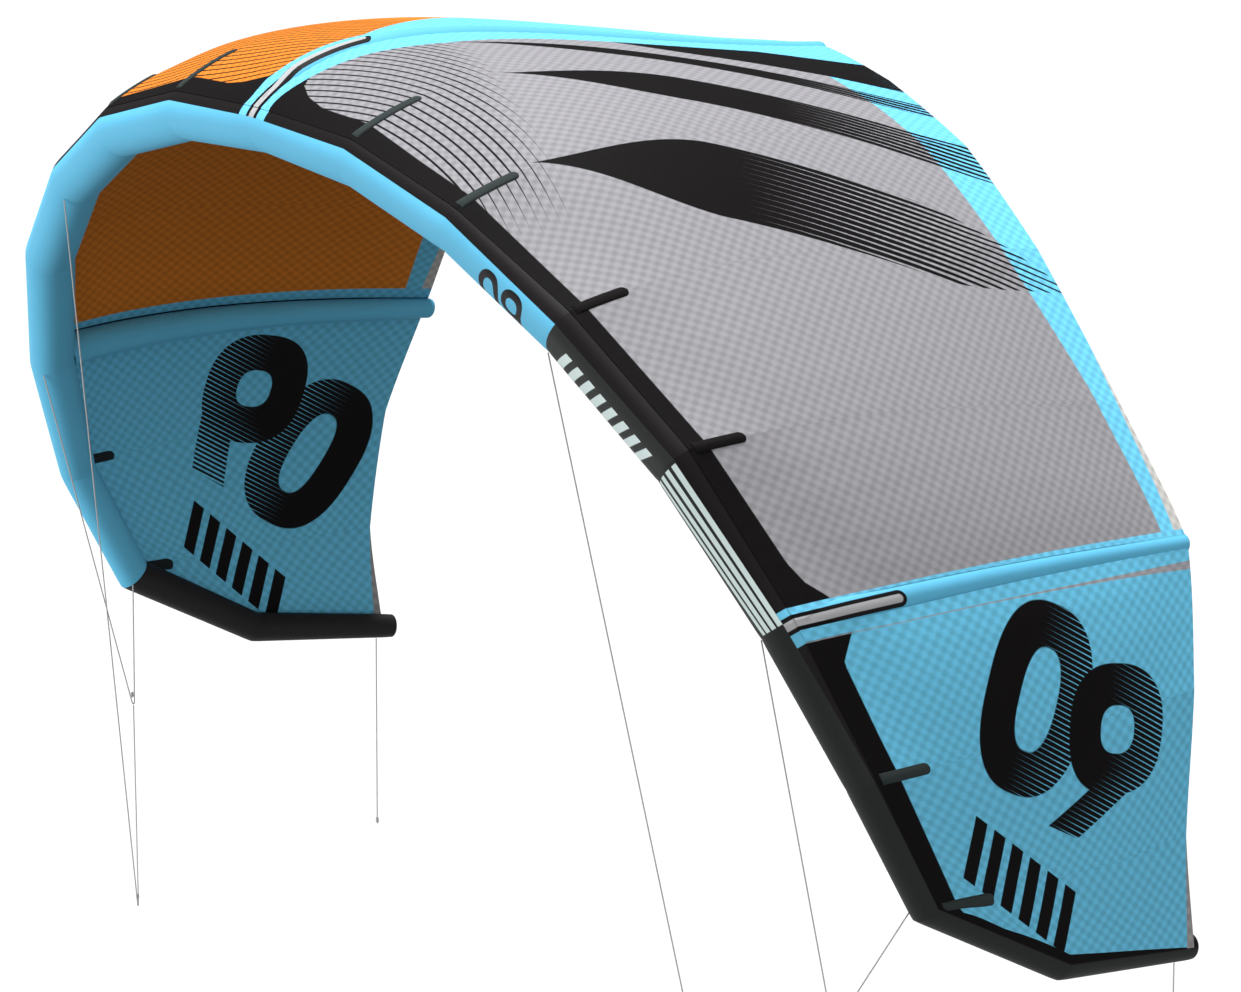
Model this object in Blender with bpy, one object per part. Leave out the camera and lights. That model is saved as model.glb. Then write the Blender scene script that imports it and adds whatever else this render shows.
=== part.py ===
import math

import bpy
import numpy as np

for item in list(bpy.data.objects):
    bpy.data.objects.remove(item, do_unlink=True)

# Whole kite in metres: X along the span, Y from nose to trailing edge, Z up
HALF_SPAN = 2.174
TIP_DROP = 1.978
TIP_SWEEP = 1.524
CENTRE_CHORD = 1.737
TUBE_RADIUS = 0.0757
SURFACE_GAP = 0.0004
SEAM_GAP = 0.0003

# Leading edge tube: joints from the centre (0) to the end of the wing tip (9)
joint_span_shares = [0.0, 0.223, 0.439, 0.635, 0.809, 0.933, 0.997, 1.0, 0.996, 0.9675]
joint_sweep_shares = [0.0, 0.003, 0.022, 0.064, 0.128, 0.215, 0.313, 0.435, 0.705, 1.0]
joint_drop_shares = [0.0, 0.015, 0.0715, 0.175, 0.318, 0.5075, 0.699, 0.873, 0.981, 1.0]
tube_radius_shares = [1.0, 1.0, 1.0, 0.99, 0.97, 0.876, 0.72, 0.68, 0.6, 0.48]
SLEEVE_WALL = 0.0012
BLADDER_FILM = 0.0008
TIP_END_LENGTH = 0.012
BLADDER_TIP_LENGTH = 0.006
BLADDER_TIP_SHARE = 0.8
TUBE_SIDES = 24
RING_START_DEGREES = 105.0

# Seam that joins canopy to tube, in degrees round the tube from the chord line
seam_degrees = [132.0, 121.0, 118.0, 108.0, 103.0, 100.0, 94.0, 92.0, 92.0, 92.0]

# Trailing edge points behind joints 0 to 7, then the wing tip corner
edge_span_shares = [0.0, 0.225, 0.436, 0.618, 0.79, 0.91, 0.973, 0.988]
edge_back_shares = [1.0, 0.947, 0.914, 0.891, 0.895, 0.913, 0.873, 0.85]
edge_drop_shares = [-0.047, -0.03, 0.028, 0.137, 0.315, 0.475, 0.6545, 0.843]
TIP_CORNER_SHARE = 0.965

# Canopy cloth
CLOTH = 0.0018
CLOTH_LIFT = 0.0008
CHORD_STEPS = 12
SPAN_STEPS = 2
REAR_PULL = 0.42
front_pull_shares = [0.25, 0.285, 0.32, 0.32, 0.32, 0.33, 0.33, 0.33]
rear_degrees = [4.0, 8.5, 9.5, 8.5, 9.0, 9.5, 9.0, 9.0]

# Struts
STRUT_FRONT_RADIUS = 0.050
STRUT_REAR_RADIUS = 0.030
STRIP_SHARE = 0.70
STRIP_GAP = 0.0005
STRUT_SIDES = 20
STRUT_START_STEPS = 2
STRUT_LEAD_IN_STEPS = 3
STRUT_END_LENGTH = 0.018
STRUT_PORT_RADIUS = 0.008
STRUT_BLADDER_NOSE = 0.07
STRUT_PORT_LENGTH = 0.012

# Mini battens: joint, start and length behind the seam
MINI_BATTEN_WIDTH = 0.038
MINI_BATTEN_THICKNESS = 0.004
MINI_BATTEN_START = 0.015
MINI_BATTEN_GAP = 0.0009
MINI_BATTEN_LENGTH = 0.21
mini_batten_joints = [1, 2, 3, 4, 6, 7]
mini_batten_length_shares = [1.0, 0.84, 0.72, 0.68, 0.68, 0.71]

# Lines
LINE_RADIUS = 0.002
LINE_LOOP_RADIUS = 0.012
UPPER_TAB_DEGREES = 225.0
MIDDLE_TAB_DEGREES = 225.0
CORNER_TAB_DEGREES = 235.0
FRONT_LINE_POINT = (1.669, 0.483, -2.619)
LOWER_JOIN_POINT = (1.944, 0.616, -2.071)
REAR_LINE_LENGTH = 0.60
REAR_LINE_SETBACK = 0.05
rounding_degrees = [20.0, 45.0, 70.0, 90.0]

# Inflation valve and deflation valve, turned parts on the rear side of the tube
VALVE_BORE_RADIUS = 0.0065
VALVE_NECK_RADIUS = 0.009
VALVE_FLANGE_RADIUS = 0.016
VALVE_FLANGE_DEPTH = 0.0072
VALVE_FLANGE_THICKNESS = 0.0016
VALVE_COLLAR_RADIUS = 0.020
VALVE_COLLAR_THICKNESS = 0.002
VALVE_RIM_RADIUS = 0.0152
VALVE_RIM_HEIGHT = 0.0005
VALVE_BARREL_RADIUS = 0.011
VALVE_BARREL_HEIGHT = 0.012
CAP_RADIUS = 0.0145
CAP_TOP = 0.003
CUTTER_REACH = 0.02
VALVE_SIDES = 20
VALVE_DEGREES = -3.0
INFLATION_SHARE = 0.5
DEFLATION_SHARE = 0.5


def unit(vector):
    return vector / np.linalg.norm(vector, axis=-1, keepdims=True)


def flipped(points):
    return np.asarray(points) * np.array([-1.0, 1.0, 1.0])


def paint(name, colour, roughness):
    material = bpy.data.materials.new(name)
    material.use_nodes = True
    shader = material.node_tree.nodes["Principled BSDF"]
    shader.inputs["Base Color"].default_value = (*colour, 1.0)
    shader.inputs["Roughness"].default_value = roughness
    return material


# Faces turn outwards when the volume they enclose counts as positive
def enclosed(points, faces):
    points = np.asarray(points, float)
    total = 0.0
    for face in faces:
        for second, third in zip(face[1:-1], face[2:]):
            total += points[face[0]] @ np.cross(points[second], points[third])
    return total


def add_body(name, points, faces, material):
    if enclosed(points, faces) < 0:
        faces = [face[::-1] for face in faces]
    mesh = bpy.data.meshes.new(name)
    mesh.from_pydata([tuple(map(float, point)) for point in points], [], faces)
    mesh.materials.append(material)
    body = bpy.data.objects.new(name, mesh)
    bpy.context.collection.objects.link(body)
    return body


# Shell between two surfaces given as grids of points
def add_sheet(name, under, over, material, mirrored):
    rows, columns = under.shape[:2]
    points = np.concatenate([under.reshape(-1, 3), over.reshape(-1, 3)])
    if mirrored:
        points = flipped(points)
    shift = rows * columns

    def at(row, column, top):
        return row * columns + column + shift * top

    faces = []
    for row in range(rows - 1):
        for column in range(columns - 1):
            a, b = at(row, column, 0), at(row + 1, column, 0)
            c, d = at(row + 1, column + 1, 0), at(row, column + 1, 0)
            faces += [(a, b, d), (b, c, d)]
            faces += [(a + shift, d + shift, b + shift), (b + shift, d + shift, c + shift)]
    rim = [(row, 0) for row in range(rows)]
    rim += [(rows - 1, column) for column in range(1, columns)]
    rim += [(row, columns - 1) for row in range(rows - 2, -1, -1)]
    rim += [(0, column) for column in range(columns - 2, 0, -1)]
    for first, second in zip(rim, rim[1:] + rim[:1]):
        a, b = at(*first, 0), at(*second, 0)
        faces += [(a, b + shift, b), (a, a + shift, b + shift)]
    if mirrored:
        faces = [face[::-1] for face in faces]
    return add_body(name, points, faces, material)


# Hollow tube from outer and inner rings; an end is open where its caps are None
def add_tube(name, outer, inner, start_caps, end_caps, material, mirrored, left_rows=0):
    outer = np.asarray(outer)
    inner = np.asarray(inner)
    sides = outer.shape[1]
    points = [outer.reshape(-1, 3), inner.reshape(-1, 3)]
    shift = outer.shape[0] * sides
    faces = []

    def skin(count, offset, inward):
        for row in range(count - 1):
            for side in range(sides):
                after = (side + 1) % sides
                a, b = offset + row * sides + side, offset + row * sides + after
                c, d = b + sides, a + sides
                pair = [(a, b, d), (b, c, d)] if row < left_rows else [(a, b, c), (a, c, d)]
                faces.extend([face[::-1] for face in pair] if inward else pair)

    skin(outer.shape[0], 0, False)
    skin(inner.shape[0], shift, True)
    ends = [
        (start_caps, 0, shift, True),
        (end_caps, shift - sides, shift + (inner.shape[0] - 1) * sides, False),
    ]
    for caps, first, second, at_start in ends:
        if caps is None:
            for side in range(sides):
                after = (side + 1) % sides
                ring = (first + side, first + after, second + after, second + side)
                faces.append(ring[::-1] if at_start else ring)
        else:
            for base, cap, turned in ((first, caps[0], at_start), (second, caps[1], not at_start)):
                centre = sum(len(block) for block in points)
                points.append(np.asarray(cap).reshape(1, 3))
                for side in range(sides):
                    after = (side + 1) % sides
                    fan = (base + side, base + after, centre)
                    faces.append(fan[::-1] if turned else fan)
    points = np.concatenate(points)
    if mirrored:
        points = flipped(points)
        faces = [face[::-1] for face in faces]
    return add_body(name, points, faces, material)


# Body turned about an axis from (radius, height) pairs that close on themselves
def turned_rings(base, axis, outline):
    side = unit(np.cross(axis, np.array([1.0, 0.0, 0.0])))
    other = np.cross(axis, side)
    angles = np.arange(VALVE_SIDES) * 2 * math.pi / VALVE_SIDES
    rings = []
    for radius, height in outline:
        around = np.outer(np.cos(angles), side) + np.outer(np.sin(angles), other)
        rings.append(base + axis * height + around * radius)
    return rings


def turned_body(name, base, axis, outline, material, through):
    rings = turned_rings(base, axis, outline)
    points = np.concatenate(rings)
    count = len(rings)
    faces = []
    last = count if through else count - 1
    for row in range(last):
        for side in range(VALVE_SIDES):
            after = (side + 1) % VALVE_SIDES
            below = (row + 1) % count
            a, b = row * VALVE_SIDES + side, row * VALVE_SIDES + after
            c, d = below * VALVE_SIDES + after, below * VALVE_SIDES + side
            faces.append((a, b, c, d))
    if not through:
        faces.append(tuple(range(VALVE_SIDES))[::-1])
        faces.append(tuple(range((count - 1) * VALVE_SIDES, count * VALVE_SIDES)))
    return add_body(name, points, faces, material)


def add_cutter(name, base, axis, radius, reach):
    outline = [(radius, -reach), (radius, reach)]
    cutter = turned_body(name, base, axis, outline, cutter_paint, False)
    cutter.hide_render = True
    cutter.display_type = "WIRE"
    return cutter


def cut(body, cutter):
    step = body.modifiers.new("opening", "BOOLEAN")
    step.operation = "DIFFERENCE"
    step.solver = "EXACT"
    step.object = cutter


# Tube joints and the local directions at each of them
joints = np.stack(
    [
        np.array(joint_span_shares) * HALF_SPAN,
        np.array(joint_sweep_shares) * TIP_SWEEP + TUBE_RADIUS,
        -np.array(joint_drop_shares) * TIP_DROP,
    ],
    axis=1,
)
radii = np.array(tube_radius_shares) * TUBE_RADIUS
edge = np.stack(
    [
        np.array(edge_span_shares) * HALF_SPAN,
        np.array(edge_back_shares) * CENTRE_CHORD + TUBE_RADIUS,
        -np.array(edge_drop_shares) * TIP_DROP,
    ],
    axis=1,
)
runs = unit(np.diff(joints, axis=0))
before = np.concatenate([[runs[0] * np.array([1.0, -1.0, -1.0])], runs])
after_runs = np.concatenate([runs, [runs[-1]]])
tangents = unit(before + after_runs)
turns = after_runs - before
chords = np.zeros((10, 3))
outwards = np.zeros((10, 3))
for joint in range(10):
    if joint < 8:
        target = edge[joint] - joints[joint]
    else:
        target = 0.5 * (joints[5] + edge[5]) - joints[joint]
    target = target - tangents[joint] * (target @ tangents[joint])
    chords[joint] = unit(target)
    outwards[joint] = unit(np.cross(chords[joint], tangents[joint]))
    if outwards[joint] @ np.array([0.5, -0.2, 0.5]) < 0:
        outwards[joint] = -outwards[joint]


# Directions round a joint, stretched in the bend so that neighbouring tubes meet on the mitre
def spokes(joint, degrees):
    angle = np.radians(degrees)
    flat = np.outer(np.cos(angle), chords[joint]) + np.outer(np.sin(angle), outwards[joint])
    size = np.linalg.norm(turns[joint])
    if size > 1e-6:
        bend = turns[joint] / size
        stretch = 1.0 / (tangents[joint] @ after_runs[joint]) - 1.0
        flat = flat + np.outer(flat @ bend, bend) * stretch
    return flat


def ring(joint, inset):
    degrees = RING_START_DEGREES - 360.0 * np.arange(TUBE_SIDES) / TUBE_SIDES
    return joints[joint] + spokes(joint, degrees) * (radii[joint] - inset)


def seam_point(joint):
    return joints[joint] + spokes(joint, [seam_degrees[joint]])[0] * (radii[joint] + CLOTH_LIFT)


# Profile of the canopy behind a joint: it leaves the tube along its skin and curves to the trailing edge
def profile(joint):
    start, finish = seam_point(joint), edge[joint]
    length = np.linalg.norm(finish - start)
    ahead = unit(finish - start)
    radial = unit(start - joints[joint])
    away = unit(ahead - radial * (ahead @ radial))
    upward = unit(outwards[joint] - ahead * (outwards[joint] @ ahead))
    slope = math.radians(rear_degrees[joint])
    rear = finish + REAR_PULL * length * (math.sin(slope) * upward - math.cos(slope) * ahead)
    front = start + front_pull_shares[joint] * length * away
    share = (np.arange(CHORD_STEPS + 1) / CHORD_STEPS)[:, None]
    rest = 1 - share
    return start * rest**3 + 3 * front * rest**2 * share + 3 * rear * rest * share**2 + finish * share**3


profiles = np.array([profile(joint) for joint in range(8)])
steps = profiles.shape[1]

# Edge of the canopy along the wing tip tube
seam_8 = seam_point(8)
seam_9 = seam_point(9)
corner = seam_8 + (seam_9 - seam_8) * TIP_CORNER_SHARE
first_length = np.linalg.norm(seam_8 - profiles[7, 0])
second_length = np.linalg.norm(corner - seam_8)
travel = (np.arange(steps) + 1) / steps * (first_length + second_length)
tip_edge = np.array(
    [
        profiles[7, 0] + (seam_8 - profiles[7, 0]) * reach / first_length
        if reach <= first_length
        else seam_8 + (corner - seam_8) * (reach - first_length) / second_length
        for reach in travel
    ]
)
turn_step = int(np.argmin(np.abs(travel - first_length)))
tip_edge[turn_step] = seam_8
lines = np.concatenate([profiles, tip_edge[None]])

# Outward direction of the cloth on every profile
along = np.gradient(lines, axis=1)
along[8] = along[7]
left = np.concatenate([flipped(lines[1:2]), lines[:-1]])
across = unit(lines - left)
across[:-1] = unit(across[:-1] + unit(lines[1:] - lines[:-1]))
across[0] = np.array([1.0, 0.0, 0.0])
across[7] = unit(lines[7] - lines[6])
across[8] = unit(lines[8] - lines[7])
normals = unit(np.cross(along, across))
normals = normals * np.where(np.sum(normals * outwards[:9, None], axis=2) < 0, -1.0, 1.0)[:, :, None]

# Strut radius and half width of the open strip above it, at each step of the profile
chord_share = np.arange(steps) / CHORD_STEPS
strut_radii = STRUT_FRONT_RADIUS + (STRUT_REAR_RADIUS - STRUT_FRONT_RADIUS) * chord_share
strip_half = strut_radii * STRIP_SHARE


# Point of the cloth between two profiles, lifted off its underside
def on_cloth(cell, share, lift):
    share = np.asarray(share)[..., None]
    base = lines[cell] * (1 - share) + lines[cell + 1] * share
    rise = normals[cell] * (1 - share) + normals[cell + 1] * share
    return base + rise * lift


def add_cell(cell, material, mirrored):
    width = np.linalg.norm(lines[cell + 1] - lines[cell], axis=1)
    start = np.full(steps, SEAM_GAP / 2) / width
    finish = 1 - np.full(steps, SEAM_GAP / 2) / width
    if cell in (0, 5):
        start = (strip_half + STRIP_GAP) / width
    if cell == 4:
        finish = 1 - (strip_half + STRIP_GAP) / width
    grid = [start + (finish - start) * step / SPAN_STEPS for step in range(SPAN_STEPS + 1)]
    under = np.stack([on_cloth(cell, share, 0.0) for share in grid], axis=1)
    over = np.stack([on_cloth(cell, share, CLOTH) for share in grid], axis=1)
    side = "left" if mirrored else "right"
    return add_sheet(f"canopy_panel_{cell + 1}_{side}", under, over, material, mirrored)


# Tube section between two joints, trimmed by half a seam gap at each open end
def add_section(name, first, last, material, mirrored):
    outer = [ring(joint, 0.0) for joint in range(first, last + 1)]
    inner = [ring(joint, SLEEVE_WALL) for joint in range(first, last + 1)]
    ahead, behind = runs[first] * SEAM_GAP / 2, runs[last - 1] * SEAM_GAP / 2
    for rings in (outer, inner):
        rings[0] = rings[0] + ahead
        if last < 9:
            rings[-1] = rings[-1] - behind
    caps = None
    if last == 9:
        caps = []
        for rings, length in ((outer, TIP_END_LENGTH), (inner, TIP_END_LENGTH - SLEEVE_WALL)):
            centre = joints[9]
            spread = rings[-1] - centre
            rings.append(centre + spread * 0.93 + runs[8] * length * 0.6)
            rings.append(centre + spread * 0.72 + runs[8] * length)
            caps.append(centre + runs[8] * length)
    return add_tube(name, outer, inner, None, caps, material, mirrored)


# Rings of the leading edge tube over the whole span, from the left tip to the right
def full_rings(inset, reach):
    right = [ring(joint, inset) for joint in range(reach + 1)]
    return [flipped(item) for item in right[:0:-1]] + right


def tube_point(share, degrees):
    centre = joints[0] + (joints[1] - joints[0]) * share
    turn = math.radians(degrees)
    direction = unit(math.cos(turn) * chords[0] + math.sin(turn) * outwards[0])
    direction = unit(direction - runs[0] * (direction @ runs[0]))
    return centre + direction * radii[0], direction


# Distance outside the leading edge tube at a strut
def clearance(points, joint):
    best = np.full(points.shape[:-1], 1e9)
    pairs = [(joint, joint + 1)]
    if joint > 0:
        pairs.append((joint - 1, joint))
    sides = [points, flipped(points)] if joint == 0 else [points]
    for item in sides:
        for first, second in pairs:
            span = joints[second] - joints[first]
            share = np.clip(((item - joints[first]) @ span) / (span @ span), -0.2, 1.2)
            foot = joints[first] + share[..., None] * span
            radius = radii[first] + (radii[second] - radii[first]) * share
            best = np.minimum(best, np.linalg.norm(item - foot, axis=-1) - radius)
    return best


def strut_rings(joint, inset):
    here = lines[joint]
    other = lines[joint + 1]
    width = np.linalg.norm(other - here, axis=1)
    right = here + (other - here) * (strip_half / width)[:, None]
    if joint == 0:
        left_side = flipped(right)
    else:
        inner_line = lines[joint - 1]
        width = np.linalg.norm(inner_line - here, axis=1)
        left_side = here + (inner_line - here) * (strip_half / width)[:, None]
    middle = 0.5 * (right + left_side)
    lateral = unit(right - left_side)
    half = np.linalg.norm(right - left_side, axis=1) / 2
    lift = normals[joint] - lateral * np.sum(normals[joint] * lateral, axis=1)[:, None]
    lift = unit(lift)
    centre = middle - lift * np.sqrt(strut_radii**2 - half**2)[:, None]
    angles = np.arange(STRUT_SIDES) * 2 * math.pi / STRUT_SIDES
    around = np.cos(angles)[None, :, None] * lift[:, None] + np.sin(angles)[None, :, None] * lateral[:, None]
    return centre[:, None] + around * (strut_radii - inset)[:, None, None], centre


# Each line of the strut starts where it leaves the leading edge tube
def trimmed(rings, joint, first_step):
    sides = rings.shape[1]
    result = np.zeros((STRUT_LEAD_IN_STEPS + len(rings) - first_step, sides, 3))
    for side in range(sides):
        line = rings[:, side]
        fine = np.linspace(0, first_step, 40 * first_step + 1)
        track = np.stack([np.interp(fine, np.arange(len(line)), line[:, axis]) for axis in range(3)], axis=1)
        inside = clearance(track, joint) < SURFACE_GAP
        start = fine[np.nonzero(inside)[0].max() + 1] if inside.any() else 0.0
        places = start + (first_step - start) * np.arange(STRUT_LEAD_IN_STEPS) / STRUT_LEAD_IN_STEPS
        for axis in range(3):
            lead = np.interp(places, np.arange(len(line)), line[:, axis])
            result[:STRUT_LEAD_IN_STEPS, side, axis] = lead
        result[STRUT_LEAD_IN_STEPS:, side] = line[first_step:]
    return result


# Rounded end behind the last ring
def rounded_end(rings, length):
    last, centre = rings[-1], rings[-1].mean(axis=0)
    behind = unit(centre - rings[-2].mean(axis=0))
    extra = [
        centre + (last - centre) * 0.9 + behind * length * 0.55,
        centre + (last - centre) * 0.6 + behind * length * 0.9,
    ]
    return np.concatenate([rings, extra]), centre + behind * length


def add_strut(name, joint, material, mirrored):
    outer, _ = strut_rings(joint, 0.0)
    inner, _ = strut_rings(joint, SLEEVE_WALL)
    first_step = STRUT_START_STEPS
    outer, outer_cap = rounded_end(trimmed(outer, joint, first_step), STRUT_END_LENGTH)
    inner, inner_cap = rounded_end(trimmed(inner, joint, first_step), STRUT_END_LENGTH - SLEEVE_WALL)
    return add_tube(name, outer, inner, None, (outer_cap, inner_cap), material, mirrored)


def add_strut_bladder(name, joint, material, mirrored):
    first_step = STRUT_START_STEPS
    caps = []
    shells = []
    for inset in (SLEEVE_WALL + SURFACE_GAP, SLEEVE_WALL + SURFACE_GAP + BLADDER_FILM):
        rings, centre = strut_rings(joint, inset)
        depth = inset - SLEEVE_WALL - SURFACE_GAP
        rings = rings[first_step:]
        spread = rings[0] - centre[first_step]
        rim = unit(spread) * (STRUT_PORT_RADIUS - depth)
        track = centre[first_step::-1]
        distance = np.concatenate([[0.0], np.cumsum(np.linalg.norm(np.diff(track, axis=0), axis=1))])
        nose = []
        nose_steps = [
            (rim, STRUT_BLADDER_NOSE + STRUT_PORT_LENGTH),
            (rim, STRUT_BLADDER_NOSE - depth),
            (spread * 0.8, STRUT_BLADDER_NOSE * 0.8 - depth),
        ]
        for offset, reach in nose_steps:
            middle = np.array([np.interp(reach, distance, track[:, axis]) for axis in range(3)])
            nose.append(middle + offset)
        rings = np.concatenate([nose, rings])
        rings, cap = rounded_end(rings, STRUT_END_LENGTH - SLEEVE_WALL - SURFACE_GAP - depth)
        shells.append(rings)
        caps.append(cap)
    return add_tube(name, shells[0], shells[1], None, caps, material, mirrored)


# Flat stiffener in a pocket on top of the seam between two panels
def add_mini_batten(name, joint, length, material, mirrored):
    travelled = np.concatenate([[0], np.cumsum(np.linalg.norm(np.diff(profiles[joint], axis=0), axis=1))])
    inner_steps = np.nonzero((travelled > MINI_BATTEN_START) & (travelled < MINI_BATTEN_START + length))[0]
    places = np.concatenate([[MINI_BATTEN_START], travelled[inner_steps], [MINI_BATTEN_START + length]])
    rows = []
    for lift in (CLOTH + MINI_BATTEN_GAP, CLOTH + MINI_BATTEN_GAP + MINI_BATTEN_THICKNESS):
        columns = []
        for cell, side in ((joint - 1, -1), (joint, 0), (joint, 1)):
            span = np.linalg.norm(lines[cell + 1] - lines[cell], axis=1)
            half = np.minimum(MINI_BATTEN_WIDTH / 2, span * 0.9)
            share = half / span if side > 0 else 1 - half / span if side < 0 else np.zeros(steps)
            strip = on_cloth(cell, share, lift)
            columns.append(
                np.stack([np.interp(places, travelled, strip[:, axis]) for axis in range(3)], axis=1)
            )
        middle = columns[1]
        last = middle[-1] + 0.75 * (columns[0][-1] - middle[-1])
        other = middle[-1] + 0.75 * (columns[2][-1] - middle[-1])
        columns[0][-1] = last
        columns[2][-1] = other
        rows.append(np.stack(columns, axis=1))
    return add_sheet(name, rows[0], rows[1], material, mirrored)


def add_line(name, path, sizes, material, mirrored):
    if mirrored:
        path = flipped(path)
    curve = bpy.data.curves.new(name, "CURVE")
    curve.dimensions = "3D"
    curve.bevel_depth = LINE_RADIUS
    curve.bevel_resolution = 2
    curve.use_fill_caps = True
    spline = curve.splines.new("POLY")
    spline.points.add(len(path) - 1)
    for point, place, size in zip(spline.points, path, sizes):
        point.co = (*[float(value) for value in place], 1.0)
        point.radius = size
    curve.materials.append(material)
    body = bpy.data.objects.new(name, curve)
    bpy.context.collection.objects.link(body)
    return body


# Two straight legs that meet in a small round loop at the bottom
def looped(first, bottom, second, radius):
    up = unit(unit(first - bottom) + unit(second - bottom))
    flat = unit(first - second - up * ((first - second) @ up))
    centre = bottom + up * radius

    def touch(end, sign):
        local = np.array([(end - centre) @ flat, (end - centre) @ up])
        distance = np.linalg.norm(local)
        base = math.atan2(local[1], local[0])
        return base - sign * math.acos(radius / distance)

    start = touch(first, 1)
    stop = touch(second, -1)
    while stop > start:
        stop -= 2 * math.pi
    bend = [
        centre + radius * (math.cos(turn) * flat + math.sin(turn) * up)
        for turn in np.linspace(start, stop, 10)
    ]
    return np.array([first, *bend, second])


def tab_point(joint, degrees, lift):
    return joints[joint] + spokes(joint, [degrees])[0] * (1 + lift / radii[joint]) * radii[joint]


blue = paint("blue dacron", (0.13, 0.48, 0.72), 0.5)
black = paint("black dacron", (0.03, 0.03, 0.03), 0.5)
grey_cloth = paint("grey ripstop", (0.40, 0.39, 0.41), 0.6)
orange_cloth = paint("orange ripstop", (0.95, 0.30, 0.04), 0.6)
blue_cloth = paint("blue ripstop", (0.10, 0.42, 0.66), 0.6)
film = paint("bladder film", (0.80, 0.86, 0.90), 0.3)
line_paint = paint("line", (0.55, 0.55, 0.55), 0.7)
plastic = paint("valve plastic", (0.05, 0.05, 0.05), 0.4)
pocket = paint("pocket cloth", (0.06, 0.07, 0.07), 0.6)
cutter_paint = paint("cutter", (0.5, 0.5, 0.5), 0.5)

for mirrored in (False, True):
    side = "left" if mirrored else "right"
    for cell in range(8):
        inner_cloth = orange_cloth if mirrored else grey_cloth
        add_cell(cell, inner_cloth if cell < 5 else blue_cloth, mirrored)
    for first in range(1, 7):
        dark = first >= 3 and not mirrored
        name = f"leading_edge_sleeve_{first + 1}_{side}"
        add_section(name, first, first + 1, black if dark else blue, mirrored)
    add_section(f"wing_tip_sleeve_{side}", 7, 9, black, mirrored)
    add_strut(f"side_strut_sleeve_{side}", 5, blue, mirrored)
    add_strut_bladder(f"side_strut_bladder_{side}", 5, film, mirrored)
    for number, (joint, share) in enumerate(zip(mini_batten_joints, mini_batten_length_shares)):
        name = f"mini_batten_{number + 1}_{side}"
        add_mini_batten(name, joint, MINI_BATTEN_LENGTH * share, pocket, mirrored)

    lift = SURFACE_GAP + LINE_RADIUS
    upper_tab = tab_point(3, UPPER_TAB_DEGREES, lift)
    middle_tab = tab_point(5, MIDDLE_TAB_DEGREES, lift)
    corner_tab = tab_point(7, CORNER_TAB_DEGREES, lift)
    front_point = np.array(FRONT_LINE_POINT)
    join = np.array(LOWER_JOIN_POINT)
    lower_end = join + unit(front_point - join) * (2 * LINE_RADIUS + SEAM_GAP)
    upper_path = looped(upper_tab, front_point, lower_end, LINE_LOOP_RADIUS)
    lower_path = looped(middle_tab, join, corner_tab, LINE_LOOP_RADIUS)
    add_line(f"bridle_line_upper_{side}", upper_path, [1.0] * len(upper_path), line_paint, mirrored)
    add_line(f"bridle_line_lower_{side}", lower_path, [1.0] * len(lower_path), line_paint, mirrored)
    setback_share = REAR_LINE_SETBACK / np.linalg.norm(joints[9] - joints[8])
    setback_radius = radii[9] + (radii[8] - radii[9]) * setback_share
    down = np.array([0.0, 0.0, -1.0])
    rear_top = joints[9] - runs[8] * REAR_LINE_SETBACK + down * (setback_radius + SURFACE_GAP)
    rounding = np.radians(rounding_degrees)
    rear_path = [rear_top + down * LINE_RADIUS * (1 - depth) for depth in np.cos(rounding)]
    rear_path.append(rear_top + down * REAR_LINE_LENGTH)
    rear_sizes = [*np.sin(rounding), 1.0]
    add_line(f"rear_line_{side}", np.array(rear_path), rear_sizes, line_paint, mirrored)

# Middle section of the leading edge sleeve
outer = [flipped(ring(1, 0.0)), ring(0, 0.0), ring(1, 0.0)]
inner = [flipped(ring(1, SLEEVE_WALL)), ring(0, SLEEVE_WALL), ring(1, SLEEVE_WALL)]
for rings in (outer, inner):
    rings[2] = rings[2] - runs[0] * SEAM_GAP / 2
    rings[0] = flipped(rings[2])
centre_sleeve = add_tube("leading_edge_sleeve_centre", outer, inner, None, None, blue, False, 1)

# Bladder inside the whole leading edge
bladder_skins = []
bladder_caps = []
for inset in (SLEEVE_WALL + SURFACE_GAP, SLEEVE_WALL + SURFACE_GAP + BLADDER_FILM):
    rings = full_rings(inset, 9)
    depth = inset - SLEEVE_WALL - SURFACE_GAP
    centre = joints[9] + runs[8] * (BLADDER_TIP_LENGTH - depth)
    tip = centre + (rings[-1] - joints[9]) * BLADDER_TIP_SHARE
    bladder_skins.append([flipped(tip), *rings, tip])
    bladder_caps.append(centre + runs[8] * BLADDER_FILM)
start_caps = [flipped(cap) for cap in bladder_caps]
bladder = add_tube(
    "leading_edge_bladder", bladder_skins[0], bladder_skins[1], start_caps, bladder_caps, film, False, 10
)
add_strut("centre_strut_sleeve", 0, blue, False)
add_strut_bladder("centre_strut_bladder", 0, film, False)

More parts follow.
